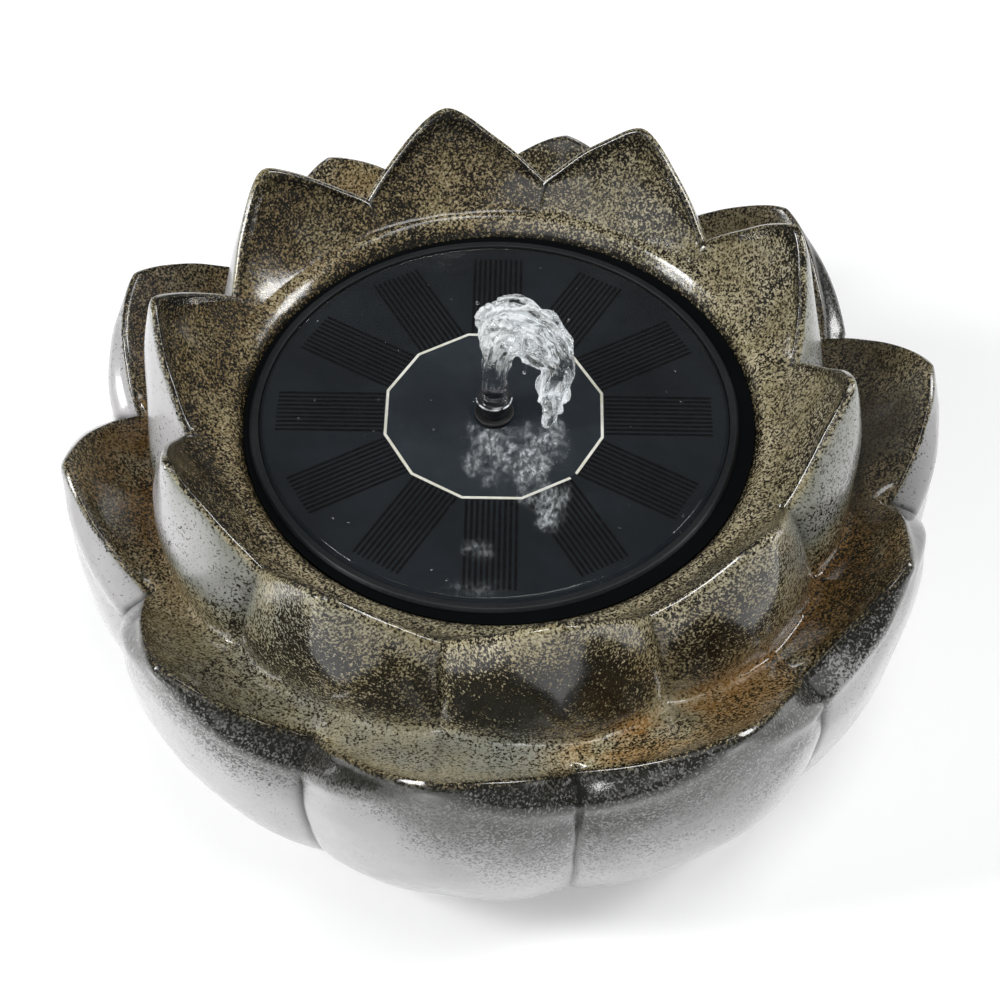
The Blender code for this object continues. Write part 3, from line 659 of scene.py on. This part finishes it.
    # Outer wall, foot and underside.
    for share, radius, seam in OUTER_WALL:
        height = mix(outer_rim[1], 0.0, share)
        inset = outer_seam * seam + 0.0009 * outer_line
        faded = smoothstep(-0.1, 1.0, share / band)
        dense = 0.62 * (1 - faded) ** 0.6 * edge
        dark = 0.95 * (1 - faded) ** 0.7 * edge
        # Painted shade: the outer wall is darkened more towards the front.
        dark += 0.27 * front * (1 - dark)
        pale = mix(1.0, 0.65 + 0.40 * faded, edge)
        top.append((radius + reach * (1 - share) - inset, height, 1.0, pale, dense, 0.0, 0.0, dark))
    plain = (1.0, 0.0, 0.0, 0.0, 0.0)
    top.append((FOOT_OUTER + 0.0012, 0.0012, 1.0, *plain))
    foot = [(FOOT_OUTER, 0.0, 1.0, *plain), (FOOT_INNER, 0.0, 1.0, *plain)]
    below = [(*point, *plain) for point in UNDERSIDE]
    below.append((0.040, UNDERSIDE[-1][1], 0.0, *plain))
    below.append((0.0, UNDERSIDE[-1][1], 0.0, *plain))
    return top, foot, below, inner_line, outer_line


def section_rows(angle):
    """The whole section at one angle: places, and the glaze's drivers at each."""
    top, foot, below, inner_line, outer_line = bowl_section(angle)
    points = curve_through(top, STEPS_PER_SPAN) + foot + curve_through(below, 2)
    wall_start = len(curve_through(top[: -len(OUTER_WALL) - 2], STEPS_PER_SPAN))
    rows = []
    for index, (radius, height, share, *glaze) in enumerate(points):
        on_wall = index >= wall_start
        centre = INNER_CENTRE * (1 - share)
        x, y = polar(max(radius, 0.0), angle)
        line = outer_line * smoothstep(0.010, 0.055, height) if on_wall else inner_line * 0.25
        rows.append(((centre.x + x, centre.y + y, height), (*glaze, line)))
    return rows


def make_bowl(material):
    """A loft through the bowl's sections, closed at the middle of the basin and of the underside."""
    angles = bowl_angles()
    columns = [section_rows(angle) for angle in angles]
    rows = len(columns[0])
    shape = bmesh.new()
    layers = [shape.verts.layers.float.new(name) for name in GLAZE_DRIVERS]
    poles = [shape.verts.new(columns[0][0][0]), shape.verts.new(columns[0][-1][0])]
    grid = []
    # Without a seed, noise_vector takes its offsets from the clock.
    noise.seed_set(UNEVEN_SEED)
    for angle, column in zip(angles, columns):
        ring = []
        for index, (place, glaze) in enumerate(column):
            if index in (0, rows - 1):
                ring.append(poles[0] if index == 0 else poles[1])
                continue
            point = Vector(place)
            loose = smoothstep(0.0, 0.012, point.z) * smoothstep(0.080, 0.096, point.xy.length)
            for scale, depth in UNEVEN:
                point += noise.noise_vector(point * scale) * depth * loose
            vertex = shape.verts.new(point)
            for layer, value in zip(layers, glaze):
                vertex[layer] = value
            ring.append(vertex)
        grid.append(ring)
    for index, ring in enumerate(grid):
        following = grid[(index + 1) % len(grid)]
        for row in range(rows - 1):
            add_face(shape, (ring[row], ring[row + 1], following[row + 1], following[row]))
    mesh = finished(shape, "glazed_lotus_bowl")
    smooth(mesh, 50)
    bowl = link(mesh, material)
    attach(bowl, "bowl")
    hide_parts("lotus_bowl")


# ---- turned and flat pieces


def turned_mesh(name, profile, steps):
    """A closed ring mesh turned about the pump's axis from (radius, height) points.

    Heights are measured from the panel's top face. A radius of 0 closes the middle.
    """
    shape = bmesh.new()
    rings = []
    for radius, height in profile:
        if radius < 1e-6:
            rings.append([shape.verts.new(on_panel(0, 0, height))] * steps)
            continue
        ring = []
        for step in range(steps):
            ring.append(shape.verts.new(on_panel(*polar(radius, 2 * pi * step / steps), height)))
        rings.append(ring)
    for index, ring in enumerate(rings):
        below = rings[(index + 1) % len(rings)]
        for step in range(steps):
            after = (step + 1) % steps
            add_face(shape, (ring[step], ring[after], below[after], below[step]))
    mesh = finished(shape, name)
    smooth(mesh)
    return mesh


def rounded(profile, radius, segments=3):
    """The closed profile with each corner rounded, where there is room for it."""
    found = []
    count = len(profile)
    for index, corner in enumerate(profile):
        here = Vector(corner)
        before = Vector(profile[index - 1]) - here
        after = Vector(profile[(index + 1) % count]) - here
        cut = min(radius, before.length * 0.45, after.length * 0.45)
        if here.x < 1e-6 or cut < 0.00003:
            found.append(corner)
            continue
        start, end = here + before.normalized() * cut, here + after.normalized() * cut
        for step in range(segments + 1):
            share = step / segments
            point = start * (1 - share) ** 2 + here * 2 * share * (1 - share) + end * share**2
            found.append((point.x, point.y))
    return found


def strip_mesh(name, outlines, low, high):
    """Flat closed plates, one for each outline of (x, y) points about the pump's axis."""
    shape = bmesh.new()
    for outline in outlines:
        bottom = [shape.verts.new(on_panel(x, y, low)) for x, y in outline]
        top = [shape.verts.new(on_panel(x, y, high)) for x, y in outline]
        count = len(outline)
        for index in range(count):
            after = (index + 1) % count
            shape.faces.new((bottom[index], bottom[after], top[after], top[index]))
        shape.faces.new(top)
        shape.faces.new(bottom[::-1])
    return finished(shape, name)


def make_panel(materials):
    """The solar disc as it is seen from above: board, cells' fingers and clear top layer."""
    board_profile = [
        (PANEL_RADIUS, BOARD_TOP),
        (PANEL_RADIUS, BOARD_LOW),
        (HOLE_RADIUS, BOARD_LOW),
        (HOLE_RADIUS, BOARD_TOP),
        (CELLS_START, BOARD_TOP),
    ]
    mesh = turned_mesh("solar_board", board_profile, DISC_STEPS)
    board = link(mesh, materials["board_face"])
    board.data.materials.append(materials["cell"])
    for face in board.data.polygons:
        face.material_index = int((face.center - PUMP_AXIS).xy.length > CELLS_START)
    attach(board, "float")
    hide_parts("panel_board")
    for cell in range(CELL_COUNT):
        turn = Matrix.Rotation(CELL_TURN + 2 * pi * (cell + 0.5) / CELL_COUNT, 2)
        outlines = []
        for finger in range(FINGER_COUNT):
            middle = (finger - (FINGER_COUNT - 1) / 2) * FINGER_PITCH
            low, high = middle - FINGER_WIDTH / 2, middle + FINGER_WIDTH / 2
            corners = ((FINGERS_START, low), (FINGER_END, low), (FINGER_END, high), (FINGERS_START, high))
            outlines.append([turn @ Vector(corner) for corner in corners])
        name = f"cell_fingers_{cell + 1:02d}"
        mesh = strip_mesh(name, outlines, FINGER_BACK, FINGER_TOP)
        fingers = link(mesh, materials["finger"])
        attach(fingers, "float")

    laminate_profile = [
        (PANEL_RADIUS, 0.0), (PANEL_RADIUS, LAMINATE_BACK),
        (HOLE_RADIUS, LAMINATE_BACK), (HOLE_RADIUS, 0.0),
    ]
    mesh = turned_mesh("laminate", rounded(laminate_profile, 0.0003), DISC_STEPS)
    laminate = link(mesh, materials["clear"])
    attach(laminate, "float")
    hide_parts("clear_laminate")


def make_ribbon(material):
    """The silver ribbon with its twelve corners and the gap at one of them."""
    outer, inner = [], []
    for corner in range(CELL_COUNT + 1):
        angle = CELL_TURN + 2 * pi * (corner + RIBBON_GAP_CORNER) / CELL_COUNT
        angle += radians(2.0) * ((corner == 0) - (corner == CELL_COUNT))
        outer.append(polar(RIBBON_RADIUS + RIBBON_HALF_WIDTH, angle))
        inner.append(polar(RIBBON_RADIUS - RIBBON_HALF_WIDTH, angle))
    mesh = strip_mesh("solar_ribbon", [outer + inner[::-1]], RIBBON_BACK, RIBBON_TOP)
    ribbon = link(mesh, material)
    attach(ribbon, "float")
    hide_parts("bus_ribbon")


def make_float(materials):
    profile = [
        (FLOAT_RADIUS - 0.0009, 0.0001), (FLOAT_RADIUS, -0.0010), (FLOAT_RADIUS, -0.0070),
        (FLOAT_RADIUS - 0.0020, -0.0120), (FLOAT_RADIUS - 0.0075, -0.0162), (0.0260, -0.0162),
        (0.0260, -0.0142), (FLOAT_RADIUS - 0.0085, -0.0142), (FLOAT_RADIUS - 0.0062, -0.0120),
        (FLOAT_RADIUS - 0.0062, -0.0042), (FLOAT_RADIUS - 0.0030, -0.0042), (FLOAT_RADIUS - 0.0030, 0.0),
    ]
    mesh = turned_mesh("float_dish", rounded(profile, 0.0002), DISC_STEPS)
    shell = link(mesh, materials["rim"])
    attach(shell, "float")
    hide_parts("float_shell")


def make_nozzle_and_grommet(materials):
    profile = [
        (0.0062, 0.0006), (0.0066, 0.0001), (0.0060, 0.0001), (0.0060, -0.0040),
        (0.0038, -0.0040), (0.0038, 0.0004), (0.0060, 0.0006),
    ]
    mesh = turned_mesh("nozzle_bush", rounded(profile, 0.0003), STUB_STEPS)
    grommet = link(mesh, materials["rubber"])
    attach(grommet, "float")
    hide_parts("nozzle_grommet")
    profile = [
        (0.0034, 0.0096), (0.0042, 0.0092), (0.0046, 0.0074), (0.0057, 0.0070),
        (0.0057, 0.0058), (0.0048, 0.0050), (0.0048, 0.0010), (0.0032, 0.0007),
        (0.0032, -0.0130), (0.0022, -0.0130), (0.0022, 0.0096),
    ]
    mesh = turned_mesh("jet_stub", rounded(profile, 0.0004), STUB_STEPS)
    nozzle = link(mesh, materials["wet_plastic"])
    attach(nozzle, "nozzle")
    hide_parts("jet_nozzle")


# ---- water


JET_SEED = 11
JET_VOXEL = 0.00042
JET_ABOVE_CAD = 0.0125
JET_STRANDS = 30
# The ring on the stub's lip, painted white as a highlight of the wet lip, in millimetres from the middle
# of the panel's top face.
LIP_RADIUS = 5.75
LIP_HEIGHT = 7.0
LIP_BALLS = 48
# The jet's spine, in millimetres from the same middle, with its radius there. It
# leaves the nozzle, leans back and to the right, turns over and falls on the disc.
JET_SPINE = (
    (0.0, 0.0, 6.6, 4.6),
    (0.2, 0.5, 14.0, 4.4),
    (0.6, 1.6, 21.0, 4.9),
    (1.8, 3.8, 27.5, 7.2),
    (4.5, 6.5, 31.8, 9.8),
    (10.5, 7.0, 29.8, 9.2),
    (16.2, 5.0, 26.0, 8.2),
    (20.3, 1.5, 21.0, 5.8),
    (19.0, -2.0, 13.5, 4.9),
    (18.4, -4.5, 7.0, 3.4),
    (17.8, -6.5, 2.4, 2.3),
)


def spine_places():
    """The jet's spine in short steps: place and radius in mm, and the two directions across it."""
    points = curve_through(JET_SPINE, 10)
    found = []
    for step, (x, y, z, radius) in enumerate(points):
        after = points[min(step + 1, len(points) - 1)]
        before = points[max(step - 1, 0)]
        ahead = Vector(after[:3]) - Vector(before[:3])
        side = ahead.cross(Vector((0.2, 1.0, 0.1))).normalized()
        found.append((Vector((x, y, z)), radius, side, side.cross(ahead).normalized()))
    return found


def water_balls(spine, generator):
    """Balls that make up the jet: a core, strands of froth along it, and a wet ring on the stub's lip,
    painted white as a highlight.
    """
    balls = []
    for place, radius, _, _ in spine:
        column = place.z < 22 and place.x < 3
        balls.append((place, radius * (1.0 if column else 0.86), 0.0))
    for _ in range(JET_STRANDS):
        start = generator.randrange(16, 78)
        end = min(len(spine), start + generator.randrange(14, 46))
        turn, twist = generator.uniform(0, 2 * pi), generator.uniform(-0.02, 0.02)
        thick, reach = generator.uniform(0.14, 0.27), generator.uniform(0.76, 0.98)
        froth_and_highlight = generator.choice((0.0, 0.3, 0.7, 0.9, 1.0))
        for step in range(start, end):
            place, radius, side, lift = spine[step]
            angle = turn + twist * (step - start)
            taper = sin(pi * (step - start + 1) / (end - start + 1)) ** 0.5
            loose = max(smoothstep(18, 30, place.z + 0.6 * place.x), smoothstep(8, 15, place.x))
            sway = radius * (reach + 0.07 * sin(0.7 * step + turn)) * loose
            place = place + (side * cos(angle) + lift * sin(angle)) * sway
            balls.append((place, max(0.7, thick * radius * taper), froth_and_highlight))
    # The lip's ring gets the whole froth share: a painted highlight.
    for step in range(LIP_BALLS):
        x, y = polar(LIP_RADIUS, pi * (1.02 + 0.96 * step / (LIP_BALLS - 1)))
        balls.append((Vector((x, y, LIP_HEIGHT)), 0.50, 1.0))
    return balls


def make_water_jet(material):
    shape = bmesh.new()
    spine = spine_places()
    balls = water_balls(spine, random.Random(JET_SEED))
    ball_finder = kdtree.KDTree(len(balls))
    spine_finder = kdtree.KDTree(len(spine))
    for step, (place, _, _, _) in enumerate(spine):
        spine_finder.insert(place, step)
    for index, (place, radius, _) in enumerate(balls):
        ball_finder.insert(place, index)
        middle = Matrix.Translation(PUMP_AXIS + place / 1000)
        fineness = 2 if radius > 2 else 1
        bmesh.ops.create_icosphere(shape, subdivisions=fineness, radius=radius / 1000, matrix=middle)
    ball_finder.balance()
    spine_finder.balance()
    jet = link(finished(shape, "water_jet"), material)
    remesh = jet.modifiers.new("merge", "REMESH")
    remesh.mode = "VOXEL"
    remesh.voxel_size = JET_VOXEL
    soften = jet.modifiers.new("soften", "SMOOTH")
    soften.factor = 0.6
    soften.iterations = 5
    graph = bpy.context.evaluated_depsgraph_get()
    graph.update()
    mesh = bpy.data.meshes.new_from_object(jet.evaluated_get(graph))
    jet.modifiers.clear()
    jet.data = mesh
    froth_and_highlight = mesh.attributes.new("froth_and_highlight", "FLOAT", "POINT")
    flow = mesh.attributes.new("flow", "FLOAT_VECTOR", "POINT")
    normals = [Vector(vertex.normal) for vertex in mesh.vertices]
    shares, flows = [], []
    for vertex, normal in zip(mesh.vertices, normals):
        place = Vector(vertex.co)
        local = (place - PUMP_AXIS) * 1000
        ragged = max(smoothstep(19.0, 27.0, local.z + 0.6 * local.x), smoothstep(10.0, 15.0, local.x))
        white = sum(balls[index][2] for _, index, _ in ball_finder.find_n(local, 3)) / 3
        _, step, _ = spine_finder.find(local)
        middle, _, side, lift = spine[step]
        away = local - middle
        streak = Vector((0.20 * step + 0.2 * away.length, away.dot(side), away.dot(lift)))
        ripple = noise.fractal(streak * 0.42, 0.9, 2.1, 2) * 0.0011 * mix(0.06, 1.0, ragged)
        moved = place + normal * ripple
        moved.z = min(moved.z, CAD_BOX[1].z + JET_ABOVE_CAD)
        vertex.co = moved
        flows.extend(streak / 1000)
        # Below 9 mm, by the lip's ring, the share is whole: a painted highlight.
        shares.append(max(ragged, 1.0 if white > 0.99 and local.z < 9 else 0.0) * (0.25 + 0.75 * white))
    froth_and_highlight.data.foreach_set("value", shares)
    flow.data.foreach_set("vector", flows)
    mesh.shade_smooth()
    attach(jet, "nozzle")


# Drops and beads. None comes nearer to the stub's axis than CLEAR_OF_STUB, in millimetres.
DROP_SEED = 21
LOOSE_DROPS = 26
RESTING_BEADS = 46
CLEAR_OF_STUB = 8


def make_droplets(material):
    """Loose drops round the head, which rise with it, and beads lying on the disc."""
    generator = random.Random(DROP_SEED)
    drops = []
    for _ in range(LOOSE_DROPS):
        angle = generator.uniform(0, 2 * pi)
        reach = generator.uniform(10, 17)
        x, y = 9 + reach * cos(angle), 2 + 0.8 * reach * sin(angle)
        drops.append((x, y, generator.uniform(14, 42), generator.uniform(0.25, 0.75)))
    beads = []
    for _ in range(RESTING_BEADS):
        angle = generator.uniform(0, 2 * pi)
        reach = 74 * sqrt(generator.uniform(0.02, 1.0))
        beads.append((*polar(reach, angle), 0.0, generator.uniform(0.15, 0.50)))
    groups = (("water_drops", "nozzle", drops, 1.0), ("water_beads", "float", beads, 0.45))
    for name, body, places, squat in groups:
        shape = bmesh.new()
        froth_and_highlight = shape.verts.layers.float.new("froth_and_highlight")
        for x, y, z, radius in places:
            if sqrt(x * x + y * y) < CLEAR_OF_STUB:
                continue
            lift = z if z > 0 else squat * radius + 0.12
            ball = bmesh.ops.create_icosphere(shape, subdivisions=2, radius=radius / 1000)
            for vertex in ball["verts"]:
                vertex.co = Vector((vertex.co.x, vertex.co.y, vertex.co.z * squat))
                vertex.co += PUMP_AXIS + Vector((x, y, lift)) / 1000
                vertex[froth_and_highlight] = 0.25
        mesh = finished(shape, name)
        mesh.shade_smooth()
        water = link(mesh, material)
        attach(water, body)


# The film of water on the panel, in millimetres from the panel's middle.
FILM_INNER = 7.6
FILM_OUTER = 75.6
FILM_BOTTOM = 0.12
# Patches of splash in it: place, half sizes and strength.
SPLASHES = (
    (2.0, -18.0, 14.0, 16.0, 0.75),
    (11.0, -22.0, 9.0, 16.0, 1.0),
    (18.0, -12.0, 6.0, 9.0, 0.9),
    (17.5, -39.0, 7.0, 13.0, 0.8),
    (-5.0, -72.0, 13.0, 5.0, 0.35),
    (-4.5, -57.0, 6.0, 5.0, 0.5),
)
# Trains of small waves near its edge: direction in degrees, radius and height.
WAVE_TRAINS = (
    (52, 70.5, 0.30),
    (-97, 71.5, 0.14),
    (-68, 70.0, 0.16),
    (-135, 68.0, 0.16),
    (172, 70.0, 0.08),
)


def splash_height(x, y):
    """Height of the water film over the panel, and how frothy it is, at a point in mm."""
    strength = 0.0
    for middle_x, middle_y, half_x, half_y, most in SPLASHES:
        away = sqrt(((x - middle_x) / half_x) ** 2 + ((y - middle_y) / half_y) ** 2)
        away += 0.45 * noise.fractal(Vector((x * 0.17, y * 0.13, 4.3)), 0.9, 2.1, 3)
        strength = max(strength, most * (1 - smoothstep(0.0, 1.3, away)))
    from_nozzle = sqrt(x * x + y * y)
    height = 0.42 + 0.05 * sin(from_nozzle * 1.05) * exp(-from_nozzle / 40)
    for direction, radius, most in WAVE_TRAINS:
        turn = (atan2(y, x) - radians(direction) + pi) % (2 * pi) - pi
        packet = exp(-((turn / 0.33) ** 2) - ((from_nozzle - radius) / 3.6) ** 2)
        height += most * packet * sin((from_nozzle - radius) * 1.9)
    chop = noise.fractal(Vector((x * 0.24, y * 0.24, 1.7)), 0.9, 2.1, 3)
    return height + chop * (0.03 + 0.50 * strength), strength


def make_splash_film(material):
    """The thin, rippled film of water lying on the disc round the nozzle."""
    steps, rings = 288, 100
    inner, outer = FILM_INNER, FILM_OUTER
    shape = bmesh.new()
    froth_and_highlight = shape.verts.layers.float.new("froth_and_highlight")
    top, bottom = [], []
    for ring in range(rings):
        radius = mix(inner, outer, ring / (rings - 1))
        upper, lower = [], []
        for step in range(steps):
            x, y = polar(radius, 2 * pi * step / steps)
            height, strength = splash_height(x, y)
            ends = min(1.0, (radius - inner) / 1.5, (outer - radius) / 2.0)
            height = 0.16 + max(0.08, height) * sqrt(max(0.0, ends))
            for places, lift in ((upper, height), (lower, FILM_BOTTOM)):
                vertex = shape.verts.new(PUMP_AXIS + Vector((x, y, lift)) / 1000)
                vertex[froth_and_highlight] = strength
                places.append(vertex)
        top.append(upper)
        bottom.append(lower)
    for step in range(steps):
        after = (step + 1) % steps
        for ring in range(rings - 1):
            for near, far in ((top[ring], top[ring + 1]), (bottom[ring], bottom[ring + 1])):
                shape.faces.new((near[step], far[step], far[after], near[after]))
        for ring in (0, rings - 1):
            corners = (top[ring][step], top[ring][after], bottom[ring][after], bottom[ring][step])
            shape.faces.new(corners)
    mesh = finished(shape, "water_film")
    mesh.shade_smooth()
    film = link(mesh, material)
    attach(film, "float")


def make_basin_water(material):
    """The basin's still water, just under the panel's rim."""
    reach = BASIN_RADIUS + 0.0008
    profile = [
        (0.0, -0.0012),
        (reach - 0.0012, -0.0012),
        (reach, -0.0009),
        (reach - 0.0004, -0.0026),
        (0.0, -0.0026),
    ]
    mesh = turned_mesh("basin_water", profile, 128)
    centre = INNER_CENTRE + Vector((BASIN_SHIFT[0], BASIN_SHIFT[1], 0))
    for vertex in mesh.vertices:
        vertex.co += Vector((centre.x - PUMP_AXIS.x, centre.y - PUMP_AXIS.y, 0))
    water = link(mesh, material)
    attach(water, "bowl")


# ---- frame meshes that stay


def dress_frame(materials):
    """Gives each frame mesh that is still shown its material."""
    dress = {
        "rubber": ("panel_gasket", "flange_gasket", "upper_shaft_seat", "lower_shaft_seat"),
        "foam": ("foam_ring",),
        "plastic": ("pump_housing", "impeller_cover", "strainer_cup"),
        "sponge": ("sponge_filter",),
        "steel": ("stator_core", *(f"housing_screw_{screw + 1}" for screw in range(4))),
        "copper": ("stator_coil_1", "stator_coil_2"),
        "board": ("driver_board",),
        "resin": ("potting",),
        "red_lead": ("positive_lead",),
        "black_lead": ("negative_lead",),
        "ceramic": ("rotor_shaft",),
        "ferrite": ("rotor_magnet",),
        "white_plastic": ("impeller",),
        "cell": [f"solar_cell_{cell + 1:02d}" for cell in range(CELL_COUNT)],
    }
    for name, material in [(name, material) for material, names in dress.items() for name in names]:
        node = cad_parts[name]
        node.data.materials.clear()
        node.data.materials.append(materials[material])


# Pieces with a fine grain: the material's name, its two tones, roughness, scale and depth of the
# grain, and a coat's weight where it has one.
GRAINY = {
    "rim": ("float_plastic", (0.005, 0.006, 0.0075), (0.008, 0.0092, 0.011), 0.45, 900, 0.00004),
    "ribbon": ("silver_ribbon", (0.74, 0.73, 0.60), (0.88, 0.87, 0.80), 0.45, 700, 0.00003, 0.3),
    "foam": ("grey_foam", (0.07, 0.07, 0.08), (0.14, 0.14, 0.15), 0.85, 1500, 0.0003),
    "sponge": ("sponge", (0.012, 0.012, 0.012), (0.05, 0.05, 0.05), 0.92, 900, 0.0009),
    "board": ("circuit_board", (0.008, 0.04, 0.03), (0.012, 0.06, 0.04), 0.38, 400, 0.00004),
    "resin": ("epoxy", (0.012, 0.012, 0.012), (0.022, 0.021, 0.02), 0.18, 60, 0.0002, 0.5),
    "ferrite": ("ferrite", (0.05, 0.05, 0.055), (0.09, 0.09, 0.095), 0.5, 1300, 0.00008),
    "ceramic": ("white_ceramic", (0.78, 0.77, 0.72), (0.87, 0.86, 0.83), 0.22, 600, 0.00002),
    "white_plastic": ("white_plastic", (0.70, 0.70, 0.67), (0.80, 0.80, 0.78), 0.42, 500, 0.00003),
    "red_lead": ("red_lead", (0.42, 0.015, 0.015), (0.55, 0.03, 0.025), 0.40, 700, 0.00003),
    "black_lead": ("black_lead", (0.014, 0.014, 0.014), (0.028, 0.028, 0.028), 0.40, 700, 0.00003),
}
STEEL_TONES = ((0.62, 0.62, 0.64), (0.50, 0.50, 0.52))
COPPER_TONES = ((0.80, 0.34, 0.14), (0.62, 0.24, 0.09))
CELL_TONES = ((0.0092, 0.0115, 0.0142), (0.0150, 0.0182, 0.0218))
BOARD_TONES = ((0.0170, 0.0225, 0.0280), (0.0290, 0.0370, 0.0450))
FINGER_TONES = ((0.0006, 0.0006, 0.0007), (0.0015, 0.0014, 0.0014))


def all_materials():
    return {
        **{piece: grainy_looks(*values) for piece, values in GRAINY.items()},
        "glaze": glaze_looks(),
        "plastic": black_plastic_looks(),
        "wet_plastic": black_plastic_looks("wet_black_plastic", 0.22),
        "rubber": rubber_looks(),
        "cell": silicon_looks("solar_silicon", *CELL_TONES),
        "board_face": silicon_looks("solar_board_face", *BOARD_TONES),
        "finger": silicon_looks("cell_finger", *FINGER_TONES),
        "clear": clear_sheet_looks("clear_laminate", 60, 0.00012),
        "steel": metal_looks("steel", *STEEL_TONES, 0.32, 700, (1, 1, 8)),
        "copper": metal_looks("copper_wire", *COPPER_TONES, 0.30, 900, (8, 1, 1)),
        "water": water_looks(),
        "splash": splash_looks(),
        "still": still_water_looks(),
    }


# ---- floor, light, camera


def make_floor():
    looks = Looks("studio_floor")
    haze = looks.noise(3.0, 2.0)
    looks.set(Base_Color=looks.blend(haze, (0.90, 0.90, 0.90), (0.94, 0.94, 0.94)), Roughness=0.9)
    looks.set(Emission_Color=(1.0, 1.0, 1.0, 1.0), Emission_Strength=0.20)
    mesh = bpy.data.meshes.new("studio_floor")
    half = 6.0
    corners = [(-half, -half, 0), (half, -half, 0), (half, half, 0), (-half, half, 0)]
    mesh.from_pydata(corners, [], [(0, 1, 2, 3)])
    floor = link(mesh, looks.material)
    floor.location.z = -0.0005


def softbox(name, place, aim, width, height, power):
    light = bpy.data.lights.new(name, "AREA")
    light.shape = "RECTANGLE"
    light.size = width
    light.size_y = height
    light.energy = power
    lamp = show(name, light)
    lamp.location = place
    lamp.rotation_euler = (Vector(aim) - Vector(place)).to_track_quat("-Z", "Y").to_euler()


def light_studio():
    world = bpy.data.worlds.new("studio")
    world.use_nodes = True
    background = world.node_tree.nodes["Background"]
    background.inputs["Color"].default_value = (0.94, 0.97, 1.0, 1.0)
    background.inputs["Strength"].default_value = 0.15
    bpy.context.scene.world = world
    bpy.context.scene.view_settings.view_transform = "Standard"
    middle = (0.0, 0.0, 0.08)
    softbox("left_softbox", (-1.10, -0.25, 0.95), middle, 0.32, 0.55, 13.0)
    softbox("right_softbox", (1.15, 0.15, 0.85), middle, 0.30, 0.6, 9.0)
    softbox("front_softbox", (-0.55, -1.25, 1.25), middle, 1.4, 0.9, 5.0)
    softbox("top_softbox", (0.25, -0.20, 1.70), middle, 0.7, 0.5, 7.0)


def make_camera():
    camera = show("camera", bpy.data.cameras.new("camera"))
    elevation = radians(51.4)
    distance = 0.6267
    aim = INNER_CENTRE + Vector((0.0009, -0.0382, WATERLINE + 0.0034))
    back = Vector((0.0, -cos(elevation), sin(elevation)))
    camera.location = aim + back * distance
    camera.rotation_euler = (pi / 2 - elevation, 0.0, 0.0)
    camera.data.sensor_width = 36.0
    camera.data.lens = 72.05
    bpy.context.scene.camera = camera


# ---- whole scene

make_camera()
light_studio()
make_floor()
MATERIALS = all_materials()
make_bowl(MATERIALS["glaze"])
make_panel(MATERIALS)
make_ribbon(MATERIALS["ribbon"])
make_float(MATERIALS)
make_nozzle_and_grommet(MATERIALS)
make_water_jet(MATERIALS["water"])
make_droplets(MATERIALS["water"])
make_splash_film(MATERIALS["splash"])
make_basin_water(MATERIALS["still"])
dress_frame(MATERIALS)
